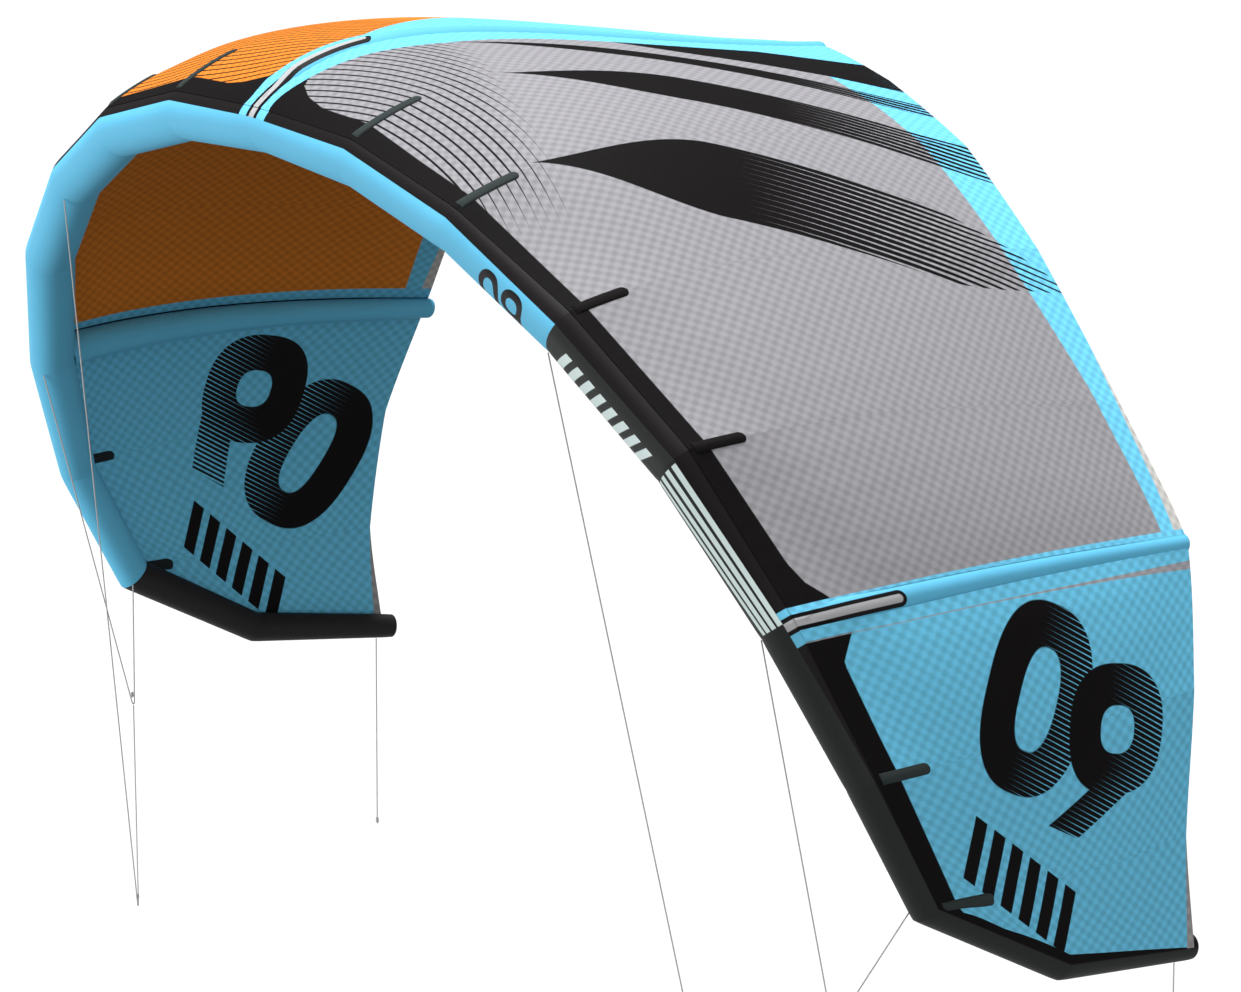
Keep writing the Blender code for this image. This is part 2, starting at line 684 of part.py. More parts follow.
# Valves with their push-on caps
collar_base = SURFACE_GAP
barrel_foot = collar_base + VALVE_COLLAR_THICKNESS
barrel_top = barrel_foot + VALVE_BARREL_HEIGHT
valve_outline = [
    (VALVE_BORE_RADIUS, -VALVE_FLANGE_DEPTH),
    (VALVE_FLANGE_RADIUS, -VALVE_FLANGE_DEPTH),
    (VALVE_FLANGE_RADIUS, VALVE_FLANGE_THICKNESS - VALVE_FLANGE_DEPTH),
    (VALVE_NECK_RADIUS, VALVE_FLANGE_THICKNESS - VALVE_FLANGE_DEPTH),
    (VALVE_NECK_RADIUS, collar_base),
    (VALVE_COLLAR_RADIUS, collar_base),
    (VALVE_COLLAR_RADIUS, barrel_foot + VALVE_RIM_HEIGHT),
    (VALVE_RIM_RADIUS, barrel_foot + VALVE_RIM_HEIGHT),
    (VALVE_RIM_RADIUS, barrel_foot),
    (VALVE_BARREL_RADIUS, barrel_foot),
    (VALVE_BARREL_RADIUS, barrel_top),
    (VALVE_BORE_RADIUS, barrel_top),
]
cap_bore = VALVE_BARREL_RADIUS + SEAM_GAP
cap_outline = [
    (cap_bore, barrel_top + SEAM_GAP),
    (cap_bore, barrel_foot + SEAM_GAP),
    (CAP_RADIUS, barrel_foot + SEAM_GAP),
    (CAP_RADIUS, barrel_top + SEAM_GAP + CAP_TOP),
]
valve_places = [("inflation_valve", 1.0, INFLATION_SHARE), ("deflation_valve", -1.0, DEFLATION_SHARE)]
for name, side_sign, share in valve_places:
    place, direction = tube_point(share, VALVE_DEGREES)
    place = place * np.array([side_sign, 1.0, 1.0])
    direction = direction * np.array([side_sign, 1.0, 1.0])
    turned_body(name, place, direction, valve_outline, plastic, True)
    turned_body(f"{name}_cap", place, direction, cap_outline, plastic, False)
    cutter = add_cutter(f"cut_{name}", place, direction, VALVE_NECK_RADIUS + SURFACE_GAP, CUTTER_REACH)
    cut(centre_sleeve, cutter)
    cut(bladder, cutter)
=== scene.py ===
import math

import bpy
import numpy as np
from mathutils import Matrix


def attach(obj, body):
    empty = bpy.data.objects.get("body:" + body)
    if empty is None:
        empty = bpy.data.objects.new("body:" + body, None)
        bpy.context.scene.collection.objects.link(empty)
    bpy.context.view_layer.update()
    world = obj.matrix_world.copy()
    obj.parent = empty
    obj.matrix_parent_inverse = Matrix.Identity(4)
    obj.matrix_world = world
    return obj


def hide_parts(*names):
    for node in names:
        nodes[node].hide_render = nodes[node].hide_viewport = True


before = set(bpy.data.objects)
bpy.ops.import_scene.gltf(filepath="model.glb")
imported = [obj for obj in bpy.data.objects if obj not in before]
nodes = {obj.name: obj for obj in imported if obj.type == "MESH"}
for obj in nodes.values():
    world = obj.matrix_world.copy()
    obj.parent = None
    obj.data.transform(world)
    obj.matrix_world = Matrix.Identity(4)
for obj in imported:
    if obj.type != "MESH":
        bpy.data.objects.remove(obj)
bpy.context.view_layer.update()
print("frame loaded")

halves = ((1.0, "right"), (-1.0, "left"))
mirror = np.array([-1.0, 1.0, 1.0])


def unit(vector):
    return vector / np.linalg.norm(vector, axis=-1, keepdims=True)


def addObject(name, data):
    item = bpy.data.objects.new(name, data)
    bpy.context.collection.objects.link(item)
    return item


def placement(right, up, back, place=(0.0, 0.0, 0.0)):
    # matrix with an object's three directions and its place as columns
    turn = np.eye(4)
    turn[:3] = np.stack([right, up, back, place], axis=1)
    return Matrix(turn.tolist())


# camera of the photograph: its right, up and back directions, its place and its frame
camera = {
    "directions": ((0.51963, 0.85439, 0.00242), (-0.18134, 0.10752, 0.97753), (0.83493, -0.50839, 0.21080)),
    "place": (15.0168, -7.9626, 2.6213),
    "lens": 186.757,
    "sensor": 36.0,
    "shift": (-0.00506, 0.0108),
    "farthest": 400.0,
}


def addCamera():
    data = bpy.data.cameras.new("camera")
    data.lens, data.sensor_width, data.clip_end = camera["lens"], camera["sensor"], camera["farthest"]
    data.shift_x, data.shift_y = camera["shift"]
    item = addObject("camera", data)
    item.matrix_world = placement(*camera["directions"], camera["place"])
    bpy.context.scene.camera = item


addCamera()

# the kite's skeleton, for the right half; the left half is its mirror image
kite = {
    "halfSpan": 2.174,
    "drop": 1.978,
    "sweep": 1.524,
    "chord": 1.737,
    "tube": 0.0757,
    "jointSpan": [0.0, 0.223, 0.439, 0.635, 0.809, 0.933, 0.997, 1.0, 0.996, 0.9675],
    "jointSweep": [0.0, 0.003, 0.022, 0.064, 0.128, 0.215, 0.313, 0.435, 0.705, 1.0],
    "jointDrop": [0.0, 0.015, 0.0715, 0.175, 0.318, 0.5075, 0.699, 0.873, 0.981, 1.0],
    "jointRadius": [1.0, 1.0, 1.0, 0.99, 0.97, 0.876, 0.72, 0.68, 0.6, 0.48],
    "seamDegrees": [132.0, 121.0, 118.0, 108.0, 103.0, 100.0, 94.0, 92.0, 92.0, 92.0],
    "seamLift": 0.0008,
    "edgeSpan": [0.0, 0.225, 0.436, 0.618, 0.79, 0.91, 0.973, 0.988],
    "edgeBack": [1.0, 0.947, 0.914, 0.891, 0.895, 0.913, 0.873, 0.85],
    "edgeDrop": [-0.047, -0.03, 0.028, 0.137, 0.315, 0.475, 0.6545, 0.843],
    "tipCorner": 0.965,
    "frontPull": [0.25, 0.285, 0.32, 0.32, 0.32, 0.33, 0.33, 0.33],
    "rearPull": 0.42,
    "rearDegrees": [4.0, 8.5, 9.5, 8.5, 9.0, 9.5, 9.0, 9.0],
    # shares of the chord between which the cloth turns curved, and between which it turns straight again in part
    "curvedFrom": (0.06, 0.25),
    "straightFrom": (0.8, 1.0),
    "straightShare": 0.6,
}


def travelled(path):
    # distance along a path at each of its points
    return np.concatenate([[0.0], np.cumsum(np.linalg.norm(np.diff(path, axis=0), axis=1))])


def along(path, known, places):
    # straight lines through the points of a path, known at the given numbers
    return np.stack([np.interp(places, known, path[:, axis]) for axis in range(3)], axis=-1)


def blendPoints(grid, places):
    # straight line between rows of a grid: row k holds the points at place k
    places = np.asarray(places, float)
    low = np.clip(np.floor(places).astype(int), 0, len(grid) - 2)
    share = (places - low).reshape(-1, *[1] * (grid.ndim - 1))
    return grid[low] * (1 - share) + grid[low + 1] * share


def skeletonPoints(span, back, down, depth):
    # shares of the half span, of a depth behind the tube's front, and of the drop
    x, y, z = (np.array(kite[key]) for key in (span, back, down))
    return np.stack([x * kite["halfSpan"], y * depth + kite["tube"], -z * kite["drop"]], axis=1)


joints = skeletonPoints("jointSpan", "jointSweep", "jointDrop", kite["sweep"])
edge = skeletonPoints("edgeSpan", "edgeBack", "edgeDrop", kite["chord"])
radii = np.array(kite["jointRadius"]) * kite["tube"]
runs = unit(np.diff(joints, axis=0))
runsBefore = np.concatenate([[runs[0] * np.array([1.0, -1.0, -1.0])], runs])
runsAfter = np.concatenate([runs, [runs[-1]]])
tangents = unit(runsBefore + runsAfter)
turns = runsAfter - runsBefore
targets = np.concatenate([edge - joints[:8], 0.5 * (joints[5] + edge[5]) - joints[8:]])
chords = unit(targets - tangents * np.sum(targets * tangents, axis=1, keepdims=True))
outwards = unit(np.cross(chords, tangents))
outwards *= np.where(outwards @ np.array([0.5, -0.2, 0.5]) < 0, -1.0, 1.0)[:, None]
tubeTravel = travelled(joints)


def spokes(joint, degrees):
    # chord direction · cos + outward direction · sin, stretched along the bend so that tubes meet on the mitre
    angle = np.radians(np.atleast_1d(degrees))
    flat = np.outer(np.cos(angle), chords[joint]) + np.outer(np.sin(angle), outwards[joint])
    size = np.linalg.norm(turns[joint])
    if size > 1e-6:
        bend = turns[joint] / size
        flat = flat + np.outer(flat @ bend, bend) * (1.0 / (tangents[joint] @ runsAfter[joint]) - 1.0)
    return flat


def seamPoint(joint):
    return joints[joint] + spokes(joint, kite["seamDegrees"][joint])[0] * (radii[joint] + kite["seamLift"])


def profile(joint, places):
    # Bézier curve: along the tube's skin at the front, rising off the trailing edge at the rear
    start, finish = seamPoint(joint), edge[joint]
    length = np.linalg.norm(finish - start)
    ahead = unit(finish - start)
    radial = unit(start - joints[joint])
    away = unit(ahead - radial * (ahead @ radial))
    upward = unit(outwards[joint] - ahead * (outwards[joint] @ ahead))
    slope = math.radians(kite["rearDegrees"][joint])
    rear = finish + kite["rearPull"] * length * (math.sin(slope) * upward - math.cos(slope) * ahead)
    front = start + kite["frontPull"][joint] * length * away
    share, rest = places[:, None], 1 - places[:, None]
    return start * rest**3 + 3 * front * rest**2 * share + 3 * rear * rest * share**2 + finish * share**3


# guide lines of the canopy: profiles 0 to 7, the wing tip's edge 8, and one more line beyond each end
chordSteps = 96
chordPlaces = np.arange(chordSteps + 1) / chordSteps
profiles = np.array([profile(joint, chordPlaces) for joint in range(8)])
tipSeam = seamPoint(8)
tipCorner = tipSeam + (seamPoint(9) - tipSeam) * kite["tipCorner"]
tipPath = np.array([profiles[7, 0], tipSeam, tipCorner])
tipTravel = travelled(tipPath)
# the wing tip's edge starts a thirteenth of its way along
tipReach = (chordPlaces * 12 + 1) / 13 * tipTravel[-1]
tipEdge = along(tipPath, tipTravel, tipReach)
guides = np.concatenate([profiles, tipEdge[None]])
guides = np.concatenate([[guides[1] * mirror], guides, [2 * guides[8] - guides[7]]])
middleTravel = travelled(guides[1:10, chordSteps // 2])


def smooth(places, low, high):
    share = np.clip((places - low) / (high - low), 0, 1)
    return share * share * (3 - 2 * share)


def canopyPoints(spanPlaces, chordShares):
    # straight between the guide lines at the front and rear edges, Catmull-Rom curve between them elsewhere
    column = np.asarray(chordShares) * chordSteps
    near = blendPoints(np.moveaxis(guides, 1, 0), column)
    cell = np.clip(np.floor(spanPlaces).astype(int), 0, 7)
    share = (spanPlaces - cell)[None, :, None]
    p0, p1, p2, p3 = (near[:, cell + shift] for shift in range(4))
    straight = p1 * (1 - share) + p2 * share
    slopeIn, slopeOut = (p2 - p0) / 2, (p3 - p1) / 2
    curved = (
        p1 * (2 * share**3 - 3 * share**2 + 1)
        + slopeIn * (share**3 - 2 * share**2 + share)
        + p2 * (3 * share**2 - 2 * share**3)
        + slopeOut * (share**3 - share**2)
    )
    straightened = kite["straightShare"] * smooth(chordShares, *kite["straightFrom"])
    weight = smooth(chordShares, *kite["curvedFrom"]) * (1 - straightened)
    return straight + (curved - straight) * weight[:, None, None]


def gridNormals(points, outward):
    # cross product of the two directions of the grid, turned to the side that outward names
    normal = np.cross(np.gradient(points, axis=0), np.gradient(points, axis=1))
    normal = normal / np.maximum(np.linalg.norm(normal, axis=-1, keepdims=True), 1e-12)
    return normal * (1.0 if np.sum(normal * outward) > 0 else -1.0)


def gridFaces(rows, columns, closed=False):
    # corner numbers of the quads of a grid of points, its last column joined to the first where closed
    row = np.arange(rows - 1)[:, None]
    column = np.arange(columns if closed else columns - 1)[None, :]
    after = (column + 1) % columns
    first, second = row * columns + column, row * columns + after
    return np.stack([first, second, second + columns, first + columns], axis=-1).reshape(-1, 4).tolist()


def addMesh(name, points, faces, sign=1.0, shown=None, outward=None, uv=None, values=None):
    # points mirrored for the left half; faces turned so that the one shown looks to the outward side
    if shown is not None:
        corner = points[faces[shown]]
        facing = np.cross(corner[1] - corner[0], corner[3] - corner[0]) @ outward
        if (facing > 0) != (sign > 0):
            faces = [face[::-1] for face in faces]
    mesh = bpy.data.meshes.new(name)
    mesh.from_pydata((points * np.array([sign, 1.0, 1.0])).tolist(), [], faces)
    mesh.polygons.foreach_set("use_smooth", [True] * len(mesh.polygons))
    corners = np.zeros(len(mesh.loops), int)
    mesh.loops.foreach_get("vertex_index", corners)
    if uv is not None:
        mesh.uv_layers.new(name="cloth").data.foreach_set("uv", uv.reshape(-1, 2)[corners].ravel())
    for key, numbers in (values or {}).items():
        numbers, domain = np.ravel(numbers), "POINT"
        if key == "degrees":
            # kept per corner, so that the face across the full turn reads 355 to 360 and not 355 to 0
            numbers, domain = numbers[corners], "CORNER"
            starts = np.zeros(len(mesh.polygons), int)
            mesh.polygons.foreach_get("loop_start", starts)
            counts = np.diff(np.append(starts, len(numbers)))
            highest = np.repeat(np.maximum.reduceat(numbers, starts), counts)
            numbers = np.where(highest - numbers > 180, numbers + 360, numbers)
        mesh.attributes.new(key, "FLOAT", domain).data.foreach_set("value", numbers)
    mesh.update()
    return addObject(name, mesh)


print("skeleton done")


# numbers in a node tree, with the usual arithmetic
class Number:
    def __init__(self, graph, socket):
        self.graph, self.socket = graph, socket

    def __add__(self, other):
        return self.graph.calc("ADD", self, other)

    def __sub__(self, other):
        return self.graph.calc("SUBTRACT", self, other)

    def __rsub__(self, other):
        return self.graph.calc("SUBTRACT", other, self)

    def __mul__(self, other):
        return self.graph.calc("MULTIPLY", self, other)

    def __truediv__(self, other):
        return self.graph.calc("DIVIDE", self, other)

    __radd__, __rmul__ = __add__, __mul__


class Graph:
    def __init__(self, tree):
        self.tree, self.made = tree, {}

    def feed(self, socket, value):
        if isinstance(value, Number):
            self.tree.links.new(value.socket, socket)
        elif isinstance(value, tuple) and len(value) == 3 and len(socket.default_value) == 4:
            socket.default_value = (*value, 1.0)
        else:
            socket.default_value = value

    def node(self, kind, output, sockets=None, **settings):
        # one output of a new node, after its settings are made and its sockets are fed
        made = self.tree.nodes.new("ShaderNode" + kind)
        for key, value in settings.items():
            setattr(made, key, value)
        for key, value in (sockets or {}).items():
            self.feed(made.inputs[key], value)
        return Number(self, made.outputs[output])

    def calc(self, operation, *values, clamp=False):
        return self.node("Math", 0, dict(enumerate(values)), operation=operation, use_clamp=clamp)

    def field(self, name):
        # number kept at each vertex of the piece
        if name not in self.made:
            self.made[name] = self.node("Attribute", "Fac", attribute_name=name)
        return self.made[name]

    def axes(self, source="Object"):
        # the three numbers of Object coordinates, of the cloth's own map or of the sky's direction
        if source not in self.made:
            split = self.node("SeparateXYZ", 0, {0: self.node("TexCoord", source)}).socket.node
            self.made[source] = [Number(self, socket) for socket in split.outputs]
        return self.made[source]

    def point(self, x, y, z):
        return self.node("CombineXYZ", 0, {0: x, 1: y, 2: z})

    def noise(self, place, scale, detail):
        return self.node("TexNoise", "Fac", {"Vector": place, "Scale": scale, "Detail": detail})

    def wave(self, value, length):
        return self.calc("SINE", value * (2 * math.pi / length))

    def above(self, value, limit, soft):
        # 0 below the limit and 1 above it, over a soft edge
        return self.calc("MULTIPLY_ADD", value - limit, 1.0 / soft, 0.5, clamp=True)

    def within(self, value, low, high, soft):
        return self.above(value, low, soft) * (1 - self.above(value, high, soft))

    def magnitude(self, value):
        return self.calc("ABSOLUTE", value)

    def larger(self, first, second):
        return self.calc("MAXIMUM", first, second)

    def hatch(self, value, length):
        # 0 to 1 and back over twice the length
        return self.calc("PINGPONG", value / length, 1.0)

    def levels(self, value, points):
        # straight lines through points of value and height, level beyond both ends
        height = points[0][1]
        for (low, first), (high, second) in zip(points, points[1:]):
            height = self.calc("DIVIDE", value - low, high - low, clamp=True) * (second - first) + height
        return height

    def rays(self, *kinds):
        # 1 on rays of the kinds named
        found = 0.0
        for kind in kinds:
            found = self.larger(found, self.node("LightPath", f"Is {kind} Ray"))
        return found

    def mix(self, share, first, second):
        return self.node("Mix", 2, {0: share, 6: first, 7: second}, data_type="RGBA")

    def scaled(self, colour, brightness):
        return self.node("VectorMath", 0, {0: colour, "Scale": brightness}, operation="SCALE")


class Finish(Graph):
    def __init__(self, name, roughness, specular=0.2):
        self.material = bpy.data.materials.new(name)
        self.material.use_nodes = True
        super().__init__(self.material.node_tree)
        self.shader = self.tree.nodes["Principled BSDF"]
        self.feed(self.shader.inputs["Roughness"], roughness)
        self.feed(self.shader.inputs["Specular IOR Level"], specular)

    def grain(self, scale, detail):
        return self.noise(self.point(*self.axes()), scale, detail)

    def bump(self, height, distance, strength=1.0):
        sockets = {"Strength": strength, "Distance": distance, "Height": height}
        self.feed(self.shader.inputs["Normal"], self.node("Bump", 0, sockets))

    def done(self, colour):
        self.feed(self.shader.inputs["Base Color"], colour)
        return self.material


def plain(red, green, blue):
    # screen colour from 0 to 255 as the light it stands for
    share = np.array([red, green, blue]) / 255
    return tuple(np.where(share > 0.04045, ((share + 0.055) / 1.055) ** 2.4, share / 12.92).tolist())


def grainyFinish(name, colour, roughness, scale, detail, depth, strength, darkest, spreadTone):
    paint = Finish(name, roughness)
    grain = paint.grain(scale, detail)
    paint.bump(grain, depth, strength)
    return paint.done(paint.scaled(colour, darkest + grain * spreadTone))


def dress(item, material, replaced, body="kite"):
    # material, solid that it stands for, body that it moves with
    item.data.materials.clear()
    item.data.materials.append(material)
    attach(item, body)
    if replaced:
        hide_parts(replaced)


# cords: bridle on each side and a line at each wing tip
cords = {
    "radius": 0.002,
    "loop": 0.012,
    "loopSteps": 24,
    "tabJoints": (3, 5, 7),
    "tabDegrees": (225.0, 225.0, 235.0),
    "frontPoint": (1.669, 0.483, -2.619),
    "join": (1.944, 0.616, -2.071),
    "rearLength": 0.60,
    "rearSetback": 0.05,
    "taper": 0.005,
    "taperShare": 0.15,
    "gap": 0.0004,
    "seamGap": 0.0003,
    "frontStep": 0.15,
    "rearStep": 0.05,
    "knotRise": 2.3,
    "rearKnotRise": 0.012,
    "knotTurns": 4,
    "rearKnotTurns": 5,
}
# knots: helix of thin cord; its radius, its rise at each turn and the cord's radius
knots = {"radius": 0.0033, "pitch": 0.0036, "cord": 0.0017, "points": 60, "facing": (0.3, 1.0, 0.2)}


def looped(first, bottom, second, radius, count):
    # straight leg, arc of the given radius round the bottom point, straight leg
    up = unit(unit(first - bottom) + unit(second - bottom))
    flat = unit(first - second - up * ((first - second) @ up))
    centre = bottom + up * radius

    def touch(end, sign):
        local = np.array([(end - centre) @ flat, (end - centre) @ up])
        return math.atan2(local[1], local[0]) - sign * math.acos(radius / np.linalg.norm(local))

    start, stop = touch(first, 1), touch(second, -1)
    stop -= 2 * math.pi * math.ceil((stop - start) / (2 * math.pi))
    angle = np.linspace(start, stop, count)[:, None]
    bend = centre + radius * (np.cos(angle) * flat + np.sin(angle) * up)
    return np.concatenate([first[None], bend, second[None]])


def addCurve(name, path, radius, startShare=1.0):
    data = bpy.data.curves.new(name, "CURVE")
    data.dimensions = "3D"
    data.bevel_depth = radius
    data.bevel_resolution = 3
    data.use_fill_caps = True
    spline = data.splines.new("POLY")
    spline.points.add(len(path) - 1)
    spline.points.foreach_set("co", np.concatenate([path, np.ones((len(path), 1))], axis=1).ravel())
    spline.points[0].radius = startShare
    return addObject(name, data)


def spread(path, step):
    # the same path with points at about equal steps
    travel = travelled(path)
    places = np.unique(np.concatenate([np.linspace(0, travel[-1], int(travel[-1] / step) + 2), travel]))
    return along(path, travel, places)


def addKnot(name, centre, axis, turnsCount):
    # helix round the axis through the centre
    side = unit(np.cross(axis, knots["facing"]))
    angle = np.linspace(0, 2 * math.pi * turnsCount, knots["points"])
    rise = (angle / (2 * math.pi) - turnsCount / 2) * knots["pitch"]
    around = np.outer(np.cos(angle), side) + np.outer(np.sin(angle), np.cross(axis, side))
    return addCurve(name, centre + around * knots["radius"] + np.outer(rise, axis), knots["cord"])


def addCord(item, body, solid, knot):
    dress(item, lineMaterial, solid, body)
    dress(knot, lineMaterial, None, body)


lineMaterial = grainyFinish("line", plain(184, 184, 184), 0.75, 900.0, 1.0, 0.0004, 1.0, 0.8, 0.4)
for sign, side in halves:
    handed = np.array([sign, 1.0, 1.0])
    lift = cords["gap"] + cords["radius"]
    tabs = [
        joints[joint] + spokes(joint, degrees)[0] * (radii[joint] + lift)
        for joint, degrees in zip(cords["tabJoints"], cords["tabDegrees"])
    ]
    frontPoint, join = np.array(cords["frontPoint"]), np.array(cords["join"])
    lowerEnd = join + unit(frontPoint - join) * (2 * cords["radius"] + cords["seamGap"])
    bends = (
        ("upper", tabs[0], frontPoint, lowerEnd, "knot"),
        ("lower", tabs[1], join, tabs[2], "object"),
    )
    for number, (part, first, bottom, second, end) in enumerate(bends, 1):
        path = spread(looped(first, bottom, second, cords["loop"], cords["loopSteps"]) * handed, cords["frontStep"])
        up = unit(unit(first - bottom) + unit(second - bottom)) * handed
        middle = bottom * handed + up * cords["loop"] * cords["knotRise"]
        knot = addKnot(f"bridle_knot_{number}_{side}", middle, up, cords["knotTurns"])
        line = addCurve(f"bridle_{part}_{side}", path, cords["radius"])
        addCord(line, "kite", f"bridle_line_{part}_{side}", knot)

    share = cords["rearSetback"] / np.linalg.norm(joints[9] - joints[8])
    setback = radii[9] + (radii[8] - radii[9]) * share
    down = np.array([0.0, 0.0, -1.0])
    top = (joints[9] - runs[8] * cords["rearSetback"] + down * (setback + cords["gap"])) * handed
    # the line's sewn end tapers, so that it clears the tube when it swings
    path = spread(np.array([top, top + down * cords["taper"], top + down * cords["rearLength"]]), cords["rearStep"])
    line = addCurve(f"rear_leader_line_{side}", path, cords["radius"], cords["taperShare"])
    middle = path[-1] - down * cords["rearKnotRise"]
    knot = addKnot(f"rear_leader_knot_{side}", middle, down, cords["rearKnotTurns"])
    addCord(line, f"rear_leader_{side}", f"rear_line_{side}", knot)
print("camera and cords done")

# canopy: colours of the panels, bands along the edges, and the weave
canopy = {
    "spanSteps": 26,
    "thickness": 0.0006,
    "lift": 0.0007,
    "stripShares": {0: 0.80, 5: 0.70},
    "stripOpens": (0.0, 0.12),
    "stripGap": -0.003,
    "strutRadii": (0.050, 0.030),
    "grey": plain(138, 137, 141),
    "orange": plain(204, 119, 42),
    "blue": plain(104, 188, 221),
    "black": plain(16, 14, 15),
    "pale": plain(168, 168, 170),
    "seamBand": plain(150, 150, 155),
    "patch": plain(30, 34, 36),
    "hem": {"blue": plain(152, 149, 150), "grey": plain(184, 182, 178), "orange": plain(184, 182, 178)},
    "inner": {"right": "grey", "left": "orange"},
    # rear edge of the black band: place along the span, share of the chord
    "frontBand": [
        (0.0, 0.40), (0.10, 0.20), (0.15, 0.115), (0.19, 0.085), (0.33, 0.060), (0.53, 0.045), (0.88, 0.046),
        (1.5, 0.038), (2.07, 0.034), (3.0, 0.030), (3.93, 0.038), (4.7, 0.052), (4.82, 0.065), (4.93, 0.098),
        (5.07, 0.110), (5.13, 0.108), (5.2, 0.088), (5.3, 0.059), (5.77, 0.060), (6.0, 0.063), (7.0, 0.068),
        (7.4, 0.063), (7.73, 0.20), (7.9, 0.50), (8.0, 1.02),
    ],
    # front edge of the band along the trailing edge
    "rearBand": [
        (0.0, 0.84), (0.75, 0.895), (1.5, 0.915), (2.5, 0.925), (3.2, 0.932), (3.9, 0.95), (4.95, 0.947),
        (5.0, 1.1), (8.0, 1.1),
    ],
    # width of the pale hem at the trailing edge, in metres
    "hemWidth": [
        (0.0, 0.0), (3.6, 0.0), (4.2, 0.016), (4.95, 0.036), (5.0, 0.0), (7.0, 0.0), (7.6, 0.016), (8.0, 0.026),
    ],
    # printed strips over the struts: middle of slot and cloth, half widths of cloth, outline and slot, slot's end, and
    # the reach and narrowing of the painted shadow on the cloth's inside beside the strut
    "centreStrip": {
        "middle": 0.0, "offset": 0.0, "cloth": 0.045, "flare": 0.024,
        "wedge": {"grey": [(0.0, 0.0), (0.52, 0.13)], "orange": [(0.0, 0.0), (0.1, 0.043), (0.42, 0.05), (0.9, 0.40)]},
        "outline": 0.028, "slot": 0.013, "end": 0.47, "seamBand": (0.0445, 0.0088),
    },
    "sideStrip": {
        "middle": 0.005, "offset": 0.012, "cloth": 0.048, "flare": 0.0,
        "wedge": {"orange": [(0.0, 0.0), (0.02, 0.03)]},
        "outline": 0.022, "slot": 0.011, "end": 0.305, "seamBand": (0.040, 0.0125),
    },
    # silver tape beside the side strut: distance, chord at which it is widest, growth and least half width
    "silver": (0.062, 1.28, 0.011, 0.0012),
    "flareLength": 0.03,
    "slack": 1.001,
    # last place of a cell, so that it isn't taken for the next one
    "cellEnd": 0.999999,
}
# ripstop: size of the squares and their strength outside and inside, weave, noise scales; the inside's strength and
# level are a tenth lower, painted shade on the underside
cloth = {
    "square": 0.019, "outside": (0.14, 1.0), "inside": (0.126, 0.9), "black": 0.05, "weave": 0.0024,
    "patchy": 55.0, "creases": 2.5, "seam": 0.006,
}
# mini battens: puffed pockets sewn over the panel seams
batten = {
    "joints": [1, 2, 3, 4, 6, 7],
    "shares": [1.0, 0.84, 0.72, 0.68, 0.68, 0.71],
    "start": 0.012,
    "length": 0.212,
    "width": 0.032,
    "height": 0.0042,
    "under": 0.0012,
    "over": 0.0018,
    "endSwell": 0.012,
    "rows": 60,
    "columns": 21,
    "patch": 0.017,
    "thread": 0.0018,
    "stitch": plain(20, 20, 20),
    "grey": plain(50, 57, 57),
    "black": plain(22, 20, 21),
}


def openStrip(joint, shares):
    # the strut's radius and half the width of the cloth's opening over it, at shares of the chord
    front, rear = canopy["strutRadii"]
    radius = front + (rear - front) * shares
    return radius, radius * canopy["stripShares"][joint] * smooth(shares, *canopy["stripOpens"])


def clothGrid(cell):
    # a grid between two guide lines, narrower where a strut lies in the cloth
    spanSteps = canopy["spanSteps"]
    edges = canopyPoints(np.array([cell, cell + canopy["cellEnd"]]), chordPlaces)
    width = np.linalg.norm(edges[:, 1] - edges[:, 0], axis=1)
    strip = openStrip(5 if cell else 0, chordPlaces)[1]
    strip = np.maximum(strip + canopy["stripGap"], 0) / width
    start = strip if cell in (0, 5) else np.zeros(chordSteps + 1)
    finish = 1 - strip if cell == 4 else np.ones(chordSteps + 1)
    shares = start[:, None] + (finish - start)[:, None] * np.linspace(0, 1, spanSteps + 1)[None]
    fine = np.linspace(0, 1, 4 * spanSteps + 1)
    surface = canopyPoints(cell + np.minimum(fine, canopy["cellEnd"]), chordPlaces)
    points = np.stack([along(line, fine, share) for line, share in zip(surface, shares)])
    return points, shares, width


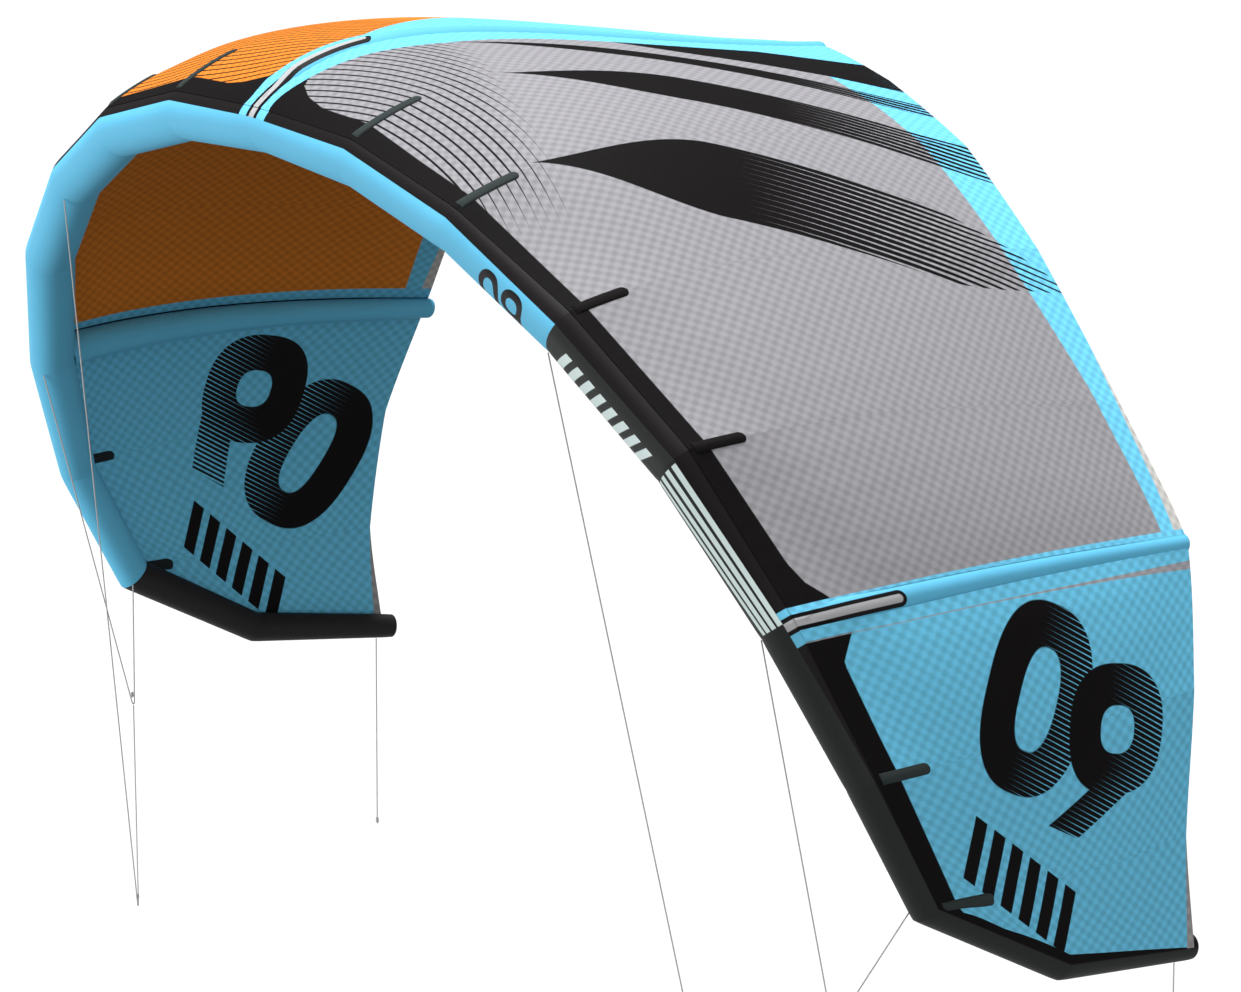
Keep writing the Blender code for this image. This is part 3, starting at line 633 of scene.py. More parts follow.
def addPanel(cell, sign, side):
    points, shares, width = clothGrid(cell)
    rows, columns = shares.shape
    steps = np.linalg.norm(np.diff(points, axis=0), axis=2)
    travel = np.concatenate([np.zeros((1, columns)), np.cumsum(steps, axis=0)])
    total = travel[-1:]
    outward = outwards[cell] + outwards[cell + 1]
    points = points + gridNormals(points, outward) * canopy["lift"]
    places = cell + shares
    band, rear, hem = (
        np.interp(places, *np.array(canopy[key]).T) for key in ("frontBand", "rearBand", "hemWidth")
    )
    chordShare = np.broadcast_to(chordPlaces[:, None], shares.shape)
    # signed distance from the line over the nearest strut, and to a rounded patch behind the nearest batten
    fromLine = (shares if cell in (0, 1, 2, 5, 6, 7) else shares - 1) * width[:, None]
    ends = np.full(9, -1.0)
    ends[batten["joints"]] = batten["start"] + batten["length"] * np.array(batten["shares"])
    end = ends[np.where(shares < 0.5, cell, cell + 1)]
    toSeam = np.minimum(shares, 1 - shares) * width[:, None]
    patch = np.hypot(toSeam, np.maximum(travel - end + batten["patch"], 0)) - batten["patch"]
    values = {
        "place": places,
        "span": np.interp(places, np.arange(9), middleTravel),
        "chord": travel,
        "behindBand": (chordShare - band) * total,
        "intoRearBand": (chordShare - rear) * total,
        "toHem": total - travel - hem,
        "toSeam": toSeam,
        "fromLine": fromLine if cell in (0, 4, 5) else np.full(shares.shape, 1.0),
        "patch": np.where(end < 0, 1.0, patch),
    }
    uv = np.stack([(shares - 0.5) * width[:, None], np.broadcast_to(travel.mean(1)[:, None], shares.shape)], axis=-1)
    faces = gridFaces(rows, columns)
    name = f"canopy_cloth_{cell + 1}_{side}"
    item = addMesh(name, points.reshape(-1, 3), faces, sign, len(faces) // 2, outward, uv, values)
    # rim edges stay sharp, so that the cloth's shading runs on over the seams
    ends = np.zeros(2 * len(item.data.edges), int)
    item.data.edges.foreach_get("vertices", ends)
    row, column = np.divmod(ends.reshape(-1, 2), columns)
    rim = ((row == 0) | (row == rows - 1)).all(1) & (row[:, 0] == row[:, 1])
    rim |= ((column == 0) | (column == columns - 1)).all(1) & (column[:, 0] == column[:, 1])
    item.data.attributes.new("sharp_edge", "BOOLEAN", "EDGE").data.foreach_set("value", rim)
    wall = item.modifiers.new("cloth", "SOLIDIFY")
    wall.thickness = canopy["thickness"]
    wall.offset = 0.0
    wall.material_offset = 1
    first = points[:-1, :-1]
    area = float(np.linalg.norm(np.cross(points[1:, :-1] - first, points[:-1, 1:] - first), axis=2).sum())
    across = float(np.linalg.norm(np.diff(points, axis=1), axis=2).sum(1).max())
    return item, area, (across * canopy["slack"], float(total.max()) * canopy["slack"])


def slotPrint(paint, base, strip, fromLine, chord, tone):
    # pale slot with a black outline, its far end rounded
    past = paint.larger(chord - strip["end"], 0.0)
    aside = fromLine - strip["middle"]
    reach = paint.calc("SQRT", aside * aside + past * past)
    base = paint.mix(paint.above(reach, strip["outline"], 0.0015), paint.scaled(canopy["black"], tone), base)
    return paint.mix(paint.above(reach, strip["slot"], 0.0015), paint.scaled(canopy["pale"], tone), base)


# numerals on the wing tips, in metres on the (Y, Z) plane: middle, tilt, half sizes of the ring and its hole
numerals = {
    "right": {
        "nought": ((1.050, -1.236), 25.0, (0.163, 0.243), (0.059, 0.131)),
        "nine": ((1.303, -1.347), 10.0, (0.163, 0.164), (0.058, 0.060)),
        "tail": ((1.400, -1.423), (1.115, -1.581), 0.0445, -0.68),
        "bars": ((0.985, -1.700), (0.79, -0.61), 0.432, 0.072),
        "hatchFrom": 1.0,
    },
    "left": {
        "nought": ((1.351, -1.415), 31.0, (0.164, 0.246), (0.054, 0.136)),
        "nine": ((1.162, -1.191), 10.0, (0.166, 0.176), (0.056, 0.059)),
        "tail": ((1.060, -1.208), (1.026, -1.468), 0.057, 0.47),
        "bars": ((1.110, -1.740), (0.74, -0.67), 0.432, 0.066),
        "hatchFrom": -1.0,
    },
    "hatch": (0.50, 0.865, 0.0066),
    "barStep": 0.036,
    # where the gaps in the digits start, over what width, and how wide they grow
    "fade": (0.11, 0.30, 0.55),
}


def ringDistance(paint, across, up, size):
    # superellipse (|a / width|^2.5 + |u / height|^2.5)^(1 / 2.5), 1 on its edge
    first = paint.calc("POWER", paint.magnitude(across / size[0]), 2.5)
    second = paint.calc("POWER", paint.magnitude(up / size[1]), 2.5)
    return paint.calc("POWER", first + second, 0.4)


def digitMarks(paint, base, tone, side):
    # masks of the two numerals and of a row of plain slanted bars below them
    size = numerals[side]
    _, y, z = paint.axes()
    alongY, alongZ, step = numerals["hatch"]
    lines = paint.hatch(z * alongZ + y * alongY, step)
    ink = 0.0
    for key in ("nought", "nine"):
        (midY, midZ), tilt, outer, hole = size[key]
        cos, sin = math.cos(math.radians(tilt)), math.sin(math.radians(tilt))
        across = (y - midY) * cos - (z - midZ) * sin
        up = (y - midY) * sin + (z - midZ) * cos
        shape = 1 - paint.above(ringDistance(paint, across, up, outer), 1.0, 0.015)
        place = across * size["hatchFrom"]
        if key == "nine":
            (headY, headZ), (footY, footZ), half, skew = size["tail"]
            length = math.hypot(footY - headY, footZ - headZ)
            alongY, alongZ = (footY - headY) / length, (footZ - headZ) / length
            travel = (y - headY) * alongY + (z - headZ) * alongZ
            aside = (y - headY) * alongZ - (z - headZ) * alongY
            tail = paint.within(travel + aside * skew, 0.0, length, 0.003) * paint.within(aside, -half, half, 0.003)
            shape = paint.larger(shape, tail)
            place = place + paint.larger(-0.10 - up, 0.0) * 1.2
        shape = shape * paint.above(ringDistance(paint, across, up, hole), 1.0, 0.04)
        # parallel gaps that widen towards one side
        limit, soft, widest = numerals["fade"]
        fade = paint.above(place, limit, soft) * widest
        ink = paint.larger(ink, shape * (1 - paint.above(fade - lines, 0.08, 0.15)))
    (midY, midZ), (alongY, alongZ), length, half = size["bars"]
    travel = (y - midY) * alongY + (z - midZ) * alongZ
    aside = (z - midZ) * alongY - (y - midY) * alongZ
    sway = travel + aside * 0.5
    bars = paint.above(paint.hatch(sway, numerals["barStep"]), 0.38, 0.06)
    block = paint.within(sway, -length / 2, length / 2, 0.002) * paint.within(aside, -half, half, 0.002)
    return paint.mix(paint.larger(ink, bars * block), base, paint.scaled(canopy["black"], tone))


# plain bands and lines printed on the inner panels
prints = {
    # bands: distance from the slanted line, half width, start and finish along it
    "slope": 62.0,
    "bands": {
        "right": [
            (-0.40, 0.15, 0.75, 2.6), (-0.10, 0.05, 0.50, 2.3), (0.24, 0.10, 0.62, 2.2), (0.78, 0.17, 0.66, 1.95),
        ],
        "left": [],
    },
    "hatch": (0.86, -0.50, 0.0125),
    # taper of the bands: middle and length; gaps: where they start, over what length, how wide they grow
    "taper": (0.25, 0.5),
    "fade": (0.72, 0.9, 0.85),
    "lineStep": 0.027,
    "lineBend": {"right": (0.30, -0.40), "left": (-0.30, 0.50)},
    "lineReach": {"right": (0.70, 0.35, 1.35), "left": (0.85, 0.35, 1.35)},
}


def bandMarks(paint, base, tone, side):
    # slanted bands that taper to a point at the front and break up into lines at the rear
    span, chord = paint.field("span"), paint.field("chord")
    cos, sin = math.cos(math.radians(prints["slope"])), math.sin(math.radians(prints["slope"]))
    travel = span * cos + chord * sin
    aside = span * sin - chord * cos
    hatchSpan, hatchChord, step = prints["hatch"]
    lines = paint.hatch(span * hatchSpan + chord * hatchChord, step)
    ink, (taper, soft), (gapsFrom, gapSoft, widest) = 0.0, prints["taper"], prints["fade"]
    for middle, half, start, finish in prints["bands"][side]:
        wide = paint.within(travel, start + taper, finish, soft)
        wide = wide * wide * (3 - wide * 2) * half
        shape = paint.above(wide - paint.magnitude(aside - middle), 0.001, 0.002)
        fade = paint.above(travel, start + gapsFrom * (finish - start), gapSoft) * widest
        ink = paint.larger(ink, shape * (1 - paint.above(fade - lines, 0.13, 0.15)))
    return paint.mix(ink, base, paint.scaled(canopy["black"], tone))


def lineMarks(paint, base, tone, side):
    # thin lines along the span, at chord + bend · span² + slant · span, thinner towards their ends
    span, chord = paint.field("span"), paint.field("chord")
    bend, slant = prints["lineBend"][side]
    place = paint.hatch(chord + span * (span * bend + slant), prints["lineStep"] / 2)
    reach, fall, finish = prints["lineReach"][side]
    thin = paint.larger(paint.above(chord + span * fall, reach - 0.08, 0.16), paint.above(span, finish - 0.2, 0.4))
    shape = 1 - paint.above(place + thin * 0.35, 0.23, 0.12)
    return paint.mix(shape, base, paint.scaled(canopy["black"], tone))


def clothFinish(shade, side, outer):
    paint = Finish(f"{shade} {side} ripstop {'outside' if outer else 'inside'}", 0.7, 0.04)
    u, v, _ = paint.axes("UV")
    place, chord, fromLine = (paint.field(name) for name in ("place", "chord", "fromLine"))
    # ripstop: soft two-tone squares over a fine weave
    spot = paint.point(u, v, place * 3.0)
    squares = paint.wave(u, 2 * cloth["square"]) * paint.wave(v, 2 * cloth["square"])
    squares = paint.calc("MULTIPLY_ADD", squares, 1.45, (paint.noise(spot, cloth["patchy"], 2.0) - 0.5) * 0.9)
    squares = paint.larger(paint.calc("MINIMUM", squares, 1.0), -1.0)
    # the inside face is a tenth darker than the outside: painted shade on the cloth's underside
    strength, level = cloth["outside" if outer else "inside"]
    tone = squares * strength + level
    blackTone = squares * cloth["black"] + 1.0
    black = paint.scaled(canopy["black"], blackTone)
    base = paint.scaled(canopy[shade], tone)
    if shade == "blue":
        base = digitMarks(paint, base, blackTone, side)
    elif outer:
        base = lineMarks(paint, base, blackTone, side)
    blue = paint.scaled(canopy["blue"], tone)
    base = paint.mix(paint.above(paint.field("intoRearBand"), 0.0, 0.003), base, blue)
    if shade != "blue" and outer:
        base = bandMarks(paint, base, blackTone, side)
    if outer:
        base = paint.mix(1 - paint.above(paint.field("behindBand"), 0.0, 0.003), base, black)
    hem = paint.scaled(canopy["hem"][shade], tone)
    base = paint.mix(1 - paint.above(paint.field("toHem"), 0.0, 0.002), base, hem)
    atCentre = 1 - paint.above(place, 2.5, 0.1)
    for strip, here in ((canopy["centreStrip"], atCentre), (canopy["sideStrip"], 1 - atCentre)):
        half = paint.calc("EXPONENT", chord * (-1 / canopy["flareLength"])) * strip["flare"] + strip["cloth"]
        if shade in strip["wedge"]:
            half = paint.levels(chord, strip["wedge"][shade]) + half
        over = paint.above(half - paint.magnitude(fromLine - strip["offset"]), 0.0, 0.002) * here
        printed = slotPrint(paint, blue, strip, fromLine, chord, blackTone) if outer else blue
        base = paint.mix(over, base, printed)
        if not outer:
            # painted shadow: a black band on the cloth's inside along its seam with the strut, where the strut shades
            # it, narrower towards the rear
            reach, fall = strip["seamBand"]
            seamBand = 1 - paint.above(paint.magnitude(fromLine) + chord * fall, reach, 0.001)
            base = paint.mix(seamBand * here, base, canopy["black"])
    if outer:
        middle, widest, growth, least = canopy["silver"]
        seamBand = paint.calc("POWER", chord / widest, 4.0) * growth + least
        seamBand = 1 - paint.above(paint.magnitude(fromLine - middle) - seamBand, 0.0, 0.0015)
        base = paint.mix(seamBand * (1 - atCentre), base, paint.scaled(canopy["seamBand"], tone))
    seam = 1 - paint.above(paint.field("toSeam"), cloth["seam"], 0.002)
    base = paint.mix(seam * 0.05, base, paint.scaled(base, 0.5))
    if not outer:
        base = paint.mix(1 - paint.above(paint.field("patch"), 0.0, 0.003), base, canopy["patch"])
    weave = paint.wave(u, cloth["weave"]) + paint.wave(v, cloth["weave"])
    creases = paint.noise(spot, cloth["creases"], 2.0)
    paint.bump(weave * 0.02 + squares * 0.05 + creases * 3.0 + seam * 0.05, 0.0012, 0.6)
    return paint.done(base)


for sign, side in halves:
    inner = canopy["inner"][side]
    faces = {shade: [clothFinish(shade, side, outer) for outer in (True, False)] for shade in (inner, "blue")}
    for cell in range(8):
        shade = inner if cell < 5 else "blue"
        outside, under = faces[shade]
        panel, area, flat = addPanel(cell, sign, side)
        dress(panel, outside, f"canopy_panel_{cell + 1}_{side}")
        panel.data.materials.append(under)
        min(area, flat[0] * flat[1])
print("canopy done")

# leading edge: 15 sewn sections, each a piece of its own
tube = {
    "sides": 72,
    "steps": 48,
    "pinch": 0.0008,
    "pinchReach": 0.012,
    "endLength": 0.012,
    "endPower": 0.55,
    "blue": plain(95, 179, 214),
    "charcoal": plain(40, 42, 42),
    "band": plain(21, 18, 19),
    "black": plain(36, 34, 35),
    "stripe": plain(206, 222, 220),
    # colours and prints of sections 2 to 7 and of the wing tip
    "sections": {
        "right": ["blue", "blue number", "charcoal bars", "charcoal stripes", "charcoal", "charcoal", "charcoal"],
        "left": ["blue"] * 6 + ["black"],
    },
    # the black band runs from 60 degrees off the chord direction to these, at joints 0 to 9
    "bandStart": 60.0,
    "bandDegrees": [155.0, 146.0, 145.0, 146.0, 139.0, 126.0, 100.0, 93.0, 96.0, 96.0],
    # pale stripes from joint 4 to joint 5: degrees at both joints
    "stripes": [(146.0, 132.0), (165.0, 148.0), (184.0, 164.0), (203.0, 180.0)],
    "stripeHalf": 5.6,
    "stripeEnds": (0.02, 0.985),
    # slanted bars from joint 3 to joint 4: step, slant, first and last degrees
    "barStep": 0.048,
    "barSlant": (192.0, 0.0006),
    "barDegrees": (168.0, 216.0),
    # size number: distance along the tube and round it from 158 degrees, in metres, half sizes, stroke
    "number": {
        "along": (1.192, 1.292), "from": 158.0, "round": (0.062, 0.03844), "half": ((0.044, 0.062), (0.044, 0.04092)),
        "stroke": 0.021, "tail": 0.075,
    },
}


def tubeRings(first, last):
    # rings at the joints, straight between them, pinched a little at each sewn seam
    degrees = -360.0 * np.arange(tube["sides"]) / tube["sides"]
    places = first + np.arange((last - first) * tube["steps"] + 1) / tube["steps"]
    rings = np.stack([joints[joint] + spokes(joint, degrees) * radii[joint] for joint in range(first, last + 1)])
    ring, centre = blendPoints(rings, places - first), blendPoints(joints, places)[:, None]
    lengths = np.diff(tubeTravel)[np.minimum(places.astype(int), last - 1)]
    seamDistance = np.abs(places - np.round(places)) * lengths
    pinched = tube["pinch"] * np.exp(-((seamDistance / tube["pinchReach"]) ** 2))
    radius = np.interp(places, np.arange(10), radii)
    return centre + (ring - centre) * (1 - pinched / radius)[:, None, None], places, degrees


def roundedCap(ring, centre, behind, length, power):
    # rings that shrink by cos^power of the angle while they travel length · sin of it
    turn = np.linspace(0, math.pi / 2, 10)[1:-1, None, None]
    return centre + (ring - centre)[None] * np.cos(turn) ** power + behind * length * np.sin(turn)


def addTube(name, points, tip, values, uv, sign):
    # rings joined to a skin, its far end closed by a fan to the tip where one is given
    rows, sides = points.shape[:2]
    faces = gridFaces(rows, sides, True)
    row = rows // 2
    outward = points[row, 0] - points[row].mean(axis=0)
    flat, uv = points.reshape(-1, 3), uv.reshape(-1, 2)
    values = {key: np.ravel(numbers) for key, numbers in values.items()}
    if tip is not None:
        base = (rows - 1) * sides
        flat, uv = np.concatenate([flat, [tip]]), np.concatenate([uv, uv[-1:]])
        faces += [[base + side, base + (side + 1) % sides, rows * sides] for side in range(sides)]
        values = {key: np.append(numbers, numbers[-1]) for key, numbers in values.items()}
    return addMesh(name, flat, faces, sign, row * sides, outward, uv, values)


def addSection(name, first, last, sign, material, whole=False):
    points, places, degrees = tubeRings(first, last)
    tip = None
    if whole:
        points = np.concatenate([(points * mirror)[:0:-1], points])
        places = np.concatenate([-places[:0:-1], places])
    if last == 9:
        cap = roundedCap(points[-1], joints[9], runs[8], tube["endLength"], tube["endPower"])
        points = np.concatenate([points, cap])
        places = np.concatenate([places, np.full(len(cap), 9.0)])
        tip = joints[9] + runs[8] * tube["endLength"]
    travel = np.interp(np.abs(places), np.arange(10), tubeTravel) * np.where(places < 0, -1.0, 1.0)
    shape = points.shape[:2]
    turned = np.broadcast_to(degrees % 360, shape)
    travel = np.broadcast_to(travel[:, None], shape)
    radius = np.interp(np.abs(places), np.arange(10), radii)
    values = {"place": np.broadcast_to(places[:, None], shape), "degrees": turned, "alongTube": travel}
    uv = np.stack([np.radians(turned) * radius[:, None], travel], axis=-1)
    item = addTube(name, points, tip, values, uv, sign)
    dress(item, material, name.replace("tube", "sleeve"))


def coatedFinish(name, cloudScale, darkest, spreadTone):
    # coated cloth: its finish and its tone, with fine threads and soft clouds
    paint = Finish(name, 0.55, 0.08)
    u, v, _ = paint.axes("UV")
    cloudy = paint.grain(cloudScale, 3.0)
    paint.bump((paint.wave(u, 0.0016) + paint.wave(v, 0.0016)) * 0.03 + cloudy, 0.001, 0.5)
    return paint, darkest + cloudy * spreadTone


def numberMarks(paint, base, travel, degrees):
    # nought and nine as rings, the nine with a tail down its far side
    size = tube["number"]
    down = (degrees - size["from"]) * (math.pi / 180 * kite["tube"])
    ink, stroke = 0.0, size["stroke"]
    for middle, level, (wide, high) in zip(size["along"], size["round"], size["half"]):
        across, up = travel - middle, down - level
        ring = 1 - paint.above(ringDistance(paint, across, up, (wide, high)), 1.0, 0.03)
        ring = ring * paint.above(ringDistance(paint, across, up, (wide - stroke, high - stroke)), 1.0, 0.06)
        ink = paint.larger(ink, ring)
    tail = paint.within(across, wide - stroke, wide, 0.001) * paint.within(up, 0.0, size["tail"], 0.002)
    return paint.mix(paint.larger(ink, tail), base, canopy["black"])


def tubeFinish(key):
    colour, _, kind = key.partition(" ")
    paint, tone = coatedFinish(f"{key} dacron", 6.0, 0.97, 0.06)
    place = paint.magnitude(paint.field("place"))
    degrees, travel = paint.field("degrees"), paint.field("alongTube")
    base, pale = paint.scaled(tube[colour], tone), paint.scaled(tube["stripe"], tone)
    if kind == "number":
        base = numberMarks(paint, base, travel, degrees)
    if kind == "stripes":
        for first, second in tube["stripes"]:
            middle = (place - 4.0) * (second - first) + first
            stripe = 1 - paint.above(paint.magnitude(degrees - middle), tube["stripeHalf"], 0.8)
            base = paint.mix(stripe * paint.within(place - 4.0, *tube["stripeEnds"], 0.004), base, pale)
    if kind == "bars":
        step, (level, slant) = tube["barStep"], tube["barSlant"]
        sway = travel - tubeTravel[3] + (degrees - level) * slant
        bars = paint.above(paint.hatch(sway, step / 2), 0.45, 0.1)
        count = math.floor((tubeTravel[4] - tubeTravel[3]) / step) - 1
        block = paint.within(sway, step, step * count, 0.002) * paint.within(degrees, *tube["barDegrees"], 0.8)
        base = paint.mix(bars * block, base, pale)
    limit = paint.levels(place, list(enumerate(tube["bandDegrees"])))
    band = paint.within(degrees, tube["bandStart"], limit, 1.0)
    base = paint.mix(band, base, paint.scaled(tube["band"], tone))
    # the printed strips of the struts run on over the black band
    blue = paint.scaled(canopy["blue"], tone)
    for strip, line in ((canopy["centreStrip"], 0.0), (canopy["sideStrip"], tubeTravel[5])):
        fromLine = travel - line
        printed = slotPrint(paint, blue, strip, fromLine, 0.0, tone)
        aside = paint.magnitude(fromLine - strip["offset"])
        over = 1 - paint.above(aside, strip["cloth"] + strip["flare"], 0.002)
        base = paint.mix(over * band, base, printed)
    return paint.done(base)


kinds = dict.fromkeys(["blue", *tube["sections"]["right"], *tube["sections"]["left"]])
tubeMaterials = {key: tubeFinish(key) for key in kinds}
addSection("leading_edge_tube_centre", 0, 1, 1.0, tubeMaterials["blue"], True)
for sign, side in halves:
    for first, key in enumerate(tube["sections"][side], 1):
        name, last = f"leading_edge_tube_{first + 1}_{side}", first + 1
        if first == 7:
            name, last = f"wing_tip_tube_{side}", 9
        addSection(name, first, last, sign, tubeMaterials[key])
print("leading edge done")

# struts: tubes under the cloth that show in its open strip
strut = {
    "sides": 48,
    "steps": 70,
    "endLength": 0.018,
    "endPower": 0.6,
    "clearance": 0.0004,
    "bladderInset": 0.002,
    "printFrom": 0.3,
    # the last pair places the strut's black painted shadow just under the cloth's seam
    "seamBand": (0.10, 0.01),
}


def strutRings(joint, shares, inset):
    # circle under each point of the profile, so that the open strip's edges lie on it
    radius, half = openStrip(joint, shares)
    half = half[:, None]
    here, outer, inner = (blendPoints(guides[joint + shift], shares * chordSteps) for shift in (1, 2, 0))
    toOuter, toInner = unit(outer - here), unit(inner - here)
    middle = here + (toOuter + toInner) * half / 2
    lateral = unit(toOuter - toInner)
    width = np.linalg.norm((toOuter - toInner) * half, axis=1) / 2
    lift = np.cross(np.gradient(here, axis=0), lateral)
    lift = unit(lift * np.where(lift @ outwards[joint] < 0, -1.0, 1.0)[:, None])
    centre = middle - lift * np.sqrt(radius**2 - width**2)[:, None]
    angle = 2 * math.pi * np.arange(strut["sides"]) / strut["sides"]
    around = np.cos(angle)[None, :, None] * lift[:, None] + np.sin(angle)[None, :, None] * lateral[:, None]
    return centre[:, None] + around * (radius - inset)[:, None, None], centre, angle, radius


def tubeClearance(points, joint):
    # least distance to the skin of the leading edge sections that meet at the joint
    best = np.full(points.shape[:-1], 1e9)
    pairs = [(joint, joint + 1)] + ([(joint - 1, joint)] if joint else [])
    for item in [points, points * mirror] if joint == 0 else [points]:
        for first, second in pairs:
            span = joints[second] - joints[first]
            share = np.clip(((item - joints[first]) @ span) / (span @ span), -0.2, 1.2)
            foot = joints[first] + share[..., None] * span
            radius = radii[first] + (radii[second] - radii[first]) * share
            best = np.minimum(best, np.linalg.norm(item - foot, axis=-1) - radius)
    return best


def addStrut(name, joint, sign, material, replaced, inset=0.0):
    # every line of the skin starts where it leaves the leading edge tube
    shares = np.linspace(0, 1, strut["steps"] * 4 + 1)
    rings, centre, angle, radius = strutRings(joint, shares, inset)
    inside = tubeClearance(rings, joint) < strut["clearance"]
    inside[shares > 0.2] = False
    start = np.array([shares[np.nonzero(column)[0].max() + 1] if column.any() else 0.0 for column in inside.T])
    places = start[None] + (1 - start[None]) * np.linspace(0, 1, strut["steps"] + 1)[:, None]
    points = np.stack([along(rings[:, side], shares, places[:, side]) for side in range(strut["sides"])], axis=1)
    behind = unit(centre[-1] - centre[-4])
    endLength = strut["endLength"] - inset
    cap = roundedCap(points[-1], centre[-1], behind, endLength, strut["endPower"])
    points = np.concatenate([points, cap])
    places = np.concatenate([places, np.ones((len(cap), strut["sides"]))])
    reach = places * travelled(centre)[-1]
    wide = np.interp(places, shares, radius)
    turned = np.broadcast_to(np.where(angle > math.pi, angle - 2 * math.pi, angle), points.shape[:2])
    values = {"chord": reach, "fromLine": np.sin(turned) * wide, "onTop": np.cos(turned)}
    uv = np.stack([turned * wide, reach], axis=-1)
    item = addTube(name, points, centre[-1] + behind * endLength, values, uv, sign)
    dress(item, material, replaced)


def strutFinish(name, strip, joint):
    paint, tone = coatedFinish(name, 8.0, 0.96, 0.08)
    onTop = paint.field("onTop")
    base = paint.scaled(tube["blue"], tone)
    printed = slotPrint(paint, base, strip, paint.field("fromLine"), paint.field("chord"), tone)
    base = paint.mix(paint.above(onTop, strut["printFrom"], 0.05), base, printed)
    # painted shadow: a black band on the skin just under its seam with the cloth, the shade seen from below
    seam = math.sqrt(1 - canopy["stripShares"][joint] ** 2)
    low, high = strut["seamBand"]
    seamBand = paint.within(onTop, seam - low, seam - high, 0.02)
    return paint.done(paint.mix(seamBand, base, paint.scaled(canopy["black"], tone)))


centreStrut = strutFinish("centre strut", canopy["centreStrip"], 0)
sideStrut = strutFinish("side strut", canopy["sideStrip"], 5)
addStrut("centre_strut_tube", 0, 1.0, centreStrut, "centre_strut_sleeve")
for sign, side in halves:
    addStrut(f"side_strut_tube_{side}", 5, sign, sideStrut, f"side_strut_sleeve_{side}")
print("struts done")


def addBatten(number, joint, length, sign, side, material):
    # strip along the profile, its cross-section domed and its rear end a half circle
    travel = travelled(guides[joint + 1])
    rows, columns = batten["rows"], batten["columns"]
    reach, across = np.linspace(0, 1, rows), np.linspace(-1, 1, columns)
    half = batten["width"] / 2
    fromEnd, fromStart = (1 - reach) * length, reach * length
    toEnds = np.minimum(fromEnd, fromStart)[:, None]
    rounded = np.sqrt(np.clip(1 - (1 - np.clip(fromEnd / half, 0, 1)) ** 2, 0, 1))
    widths = half * np.maximum(rounded, 0.02)
    shares = np.interp(batten["start"] + reach * length, travel, chordPlaces)
    toNext = [
        np.interp(shares, chordPlaces, np.linalg.norm(guides[joint + 1 + step] - guides[joint + 1], axis=1))[:, None]
        for step in (-1, 1)
    ]
    share = across[None] * widths[:, None]
    places = joint + np.where(share < 0, share / toNext[0], share / toNext[1])
    points = np.concatenate([canopyPoints(places[row], shares[row : row + 1]) for row in range(rows)])
    normal = gridNormals(points, outwards[joint])
    dome = np.clip(1 - np.abs(across[None]) ** 2.5, 0, 1) ** 0.6
    swell = dome * np.minimum(1.0, toEnds / batten["endSwell"]) ** 0.6
    under = points + normal * batten["under"]
    over = points + normal * (batten["over"] + batten["height"] * swell)[..., None]
    flat = np.concatenate([under.reshape(-1, 3), over.reshape(-1, 3)])
    lower = np.array(gridFaces(rows, columns))
    shift = rows * columns
    upper = lower[:, ::-1] + shift
    rim = [row * columns for row in range(rows)] + [(rows - 1) * columns + column for column in range(1, columns)]
    rim += [row * columns + columns - 1 for row in range(rows - 2, -1, -1)] + list(range(columns - 2, 0, -1))
    wall = [[a, b, b + shift, a + shift] for a, b in zip(rim, rim[1:] + rim[:1])]
    faces = lower.tolist() + upper.tolist() + wall
    toRim = np.minimum((1 - np.abs(across))[None] * widths[:, None], toEnds)
    uv = np.stack([share, np.broadcast_to(fromStart[:, None], share.shape)], axis=-1).reshape(-1, 2)
    name, shown = f"mini_batten_pocket_{number}_{side}", len(lower) + len(upper) // 2
    values = {"toRim": np.tile(toRim.ravel(), 2)}
    item = addMesh(name, flat, faces, sign, shown, outwards[joint], np.tile(uv, (2, 1)), values)
    dress(item, material, f"mini_batten_{number}_{side}")


def battenFinish(name, colour):
    paint = Finish(name, 0.75, 0.04)
    u, v, _ = paint.axes("UV")
    threads = paint.wave(u, batten["thread"]) * paint.wave(v, batten["thread"])
    beats = paint.above(paint.wave(v, 0.004), -0.2, 0.4)
    stitch = paint.within(paint.field("toRim"), 0.0022, 0.0034, 0.0006) * beats
    paint.bump(threads * 0.1 - stitch, 0.0008, 0.8)
    return paint.done(paint.mix(stitch, paint.scaled(colour, 1.0 + threads * 0.06), batten["stitch"]))


greyPocket, blackPocket = (battenFinish(f"{shade} batten pocket", batten[shade]) for shade in ("grey", "black"))
for sign, side in halves:
    for number, (joint, share) in enumerate(zip(batten["joints"], batten["shares"]), 1):
        finish = blackPocket if joint in (3, 4) else greyPocket
        addBatten(number, joint, batten["length"] * share, sign, side, finish)
print("battens done")

# the bladders but one, and the valves, keep their solids, with finishes of their own
inside = {
    "bladders": ("leading_edge_bladder", "side_strut_bladder_right", "side_strut_bladder_left"),
    "valves": ("inflation_valve", "deflation_valve", "inflation_valve_cap", "deflation_valve_cap"),
}
film = grainyFinish("bladder film", plain(226, 232, 236), 0.25, 40.0, 4.0, 0.002, 0.6, 0.9, 0.15)
plastic = grainyFinish("valve plastic", plain(38, 39, 40), 0.42, 900.0, 3.0, 0.0003, 0.5, 0.85, 0.3)
for solids, finish in (("bladders", film), ("valves", plastic)):
    for name in inside[solids]:
        nodes[name].data.materials.clear()
        nodes[name].data.materials.append(finish)
# the centre strut's tube lies higher than its solid, so its bladder is made again to fit
addStrut("centre_strut_air_tube", 0, 1.0, film, "centre_strut_bladder", strut["bladderInset"])
print("inner pieces done")

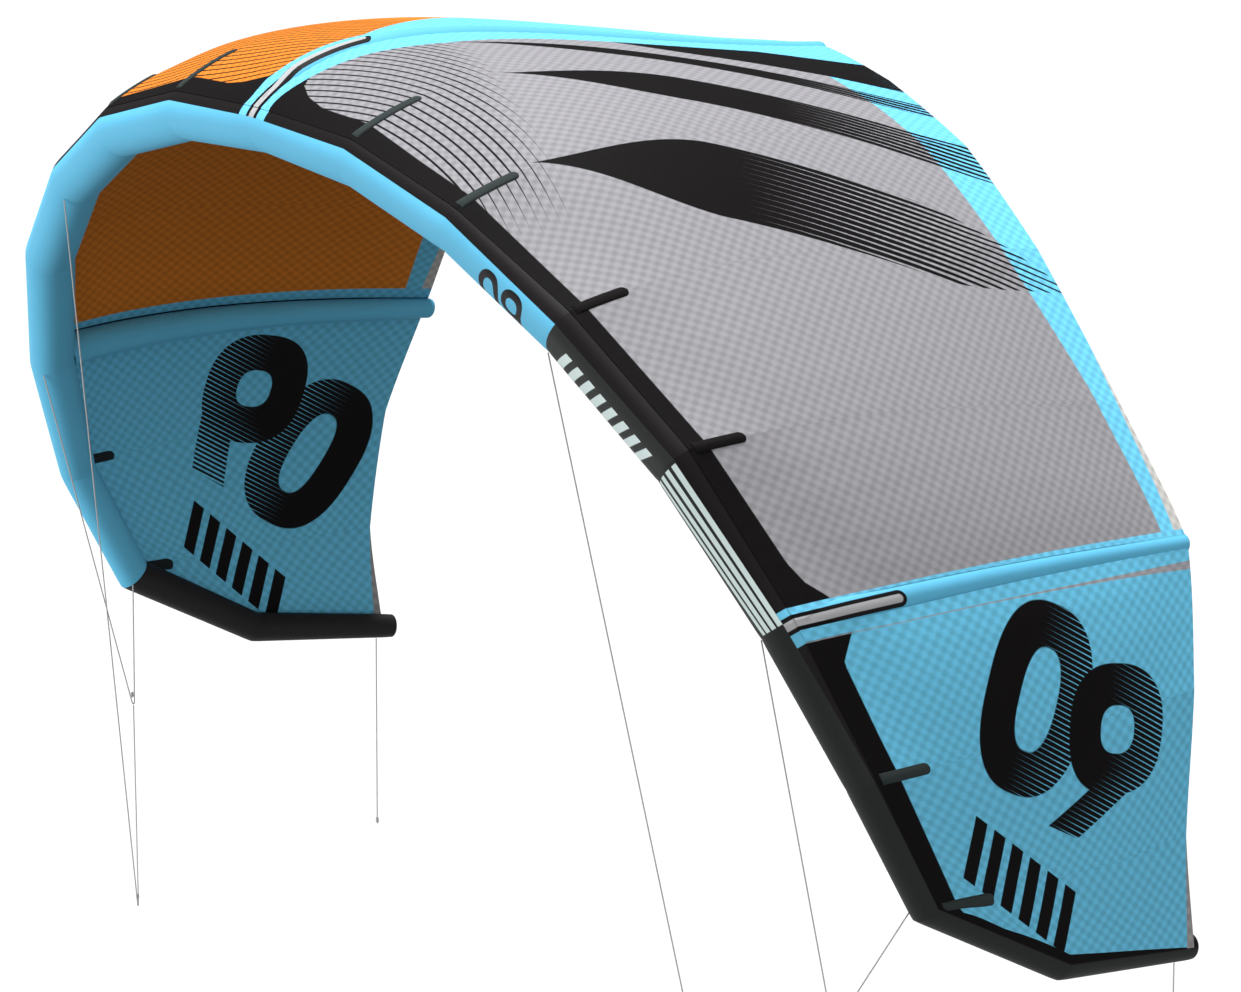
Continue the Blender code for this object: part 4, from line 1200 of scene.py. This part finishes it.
# pale studio: floor far below, three wide lamps, a low panel and a soft sky
studio = {
    "floor": -8.0,
    "size": 90.0,
    "sides": 64,
    "floorGrey": (0.08, 0.08, 0.08),
    "floorGlow": 0.90,
    "lamps": [((-0.25, 0.0, 0.97), 5.5, 25.0), ((-0.28, -0.95, 0.06), 1.35, 50.0), ((0.97, -0.1, 0.12), 1.7, 50.0)],
    # sky: rise at which it is as dim as the ground, rise at which it is bright, strength at both
    "sky": (-0.3, 0.6, 0.06, 0.32),
    "lowLamp": {"place": (-6.2, -8.6, -3.0), "aim": (-1.6, 0.3, -0.9), "size": (7.0, 2.4), "power": 800.0},
}


def addLamp(name, kind, toward, place=(0.0, 0.0, 0.0)):
    # a lamp whose back is turned to the given direction
    toward = unit(np.array(toward))
    side = unit(np.cross([0.0, 0.0, 1.0], toward))
    item = addObject(name, bpy.data.lights.new(name, kind))
    item.matrix_world = placement(side, np.cross(toward, side), toward, place)
    return item


def addStudio():
    angle = 2 * math.pi * np.arange(studio["sides"]) / studio["sides"]
    rim = np.stack([np.cos(angle), np.sin(angle), 0 * angle], axis=1) * studio["size"]
    floor = addMesh("floor", rim + [0.0, 0.0, studio["floor"]], [list(range(studio["sides"]))])
    paint = Finish("studio floor", 0.9)
    white = (1.0, 1.0, 1.0)
    paint.feed(paint.shader.inputs["Emission Color"], white)
    glow = paint.rays("Camera", "Glossy", "Transmission") * studio["floorGlow"]
    paint.feed(paint.shader.inputs["Emission Strength"], glow)
    floor.data.materials.append(paint.done(studio["floorGrey"]))

    for number, (toward, strength, wide) in enumerate(studio["lamps"], 1):
        sun = addLamp(f"lamp {number}", "SUN", toward)
        sun.data.energy, sun.data.angle = strength, math.radians(wide)
    low = studio["lowLamp"]
    panel = addLamp("low lamp", "AREA", np.array(low["place"]) - np.array(low["aim"]), low["place"])
    panel.data.shape = "RECTANGLE"
    panel.data.size, panel.data.size_y = low["size"]
    panel.data.energy = low["power"]
    panel.visible_camera = False

    world = bpy.data.worlds.new("sky")
    bpy.context.scene.world = world
    world.use_nodes = True
    sky = Graph(world.node_tree)
    backdrop = sky.tree.nodes["Background"]
    names = ("From Min", "From Max", "To Min", "To Max")
    sockets = {"Value": sky.axes("Generated")[2], **dict(zip(names, studio["sky"]))}
    rise = sky.node("MapRange", 0, sockets, interpolation_type="SMOOTHSTEP")
    strength = sky.node("Mix", 0, {0: sky.rays("Camera", "Transmission"), 2: rise, 3: 1.0}, data_type="FLOAT")
    sky.feed(backdrop.inputs["Strength"], strength)
    sky.feed(backdrop.inputs["Color"], white)


addStudio()
bpy.context.scene.view_settings.view_transform = "Standard"
print("studio done")

bpy.context.view_layer.update()
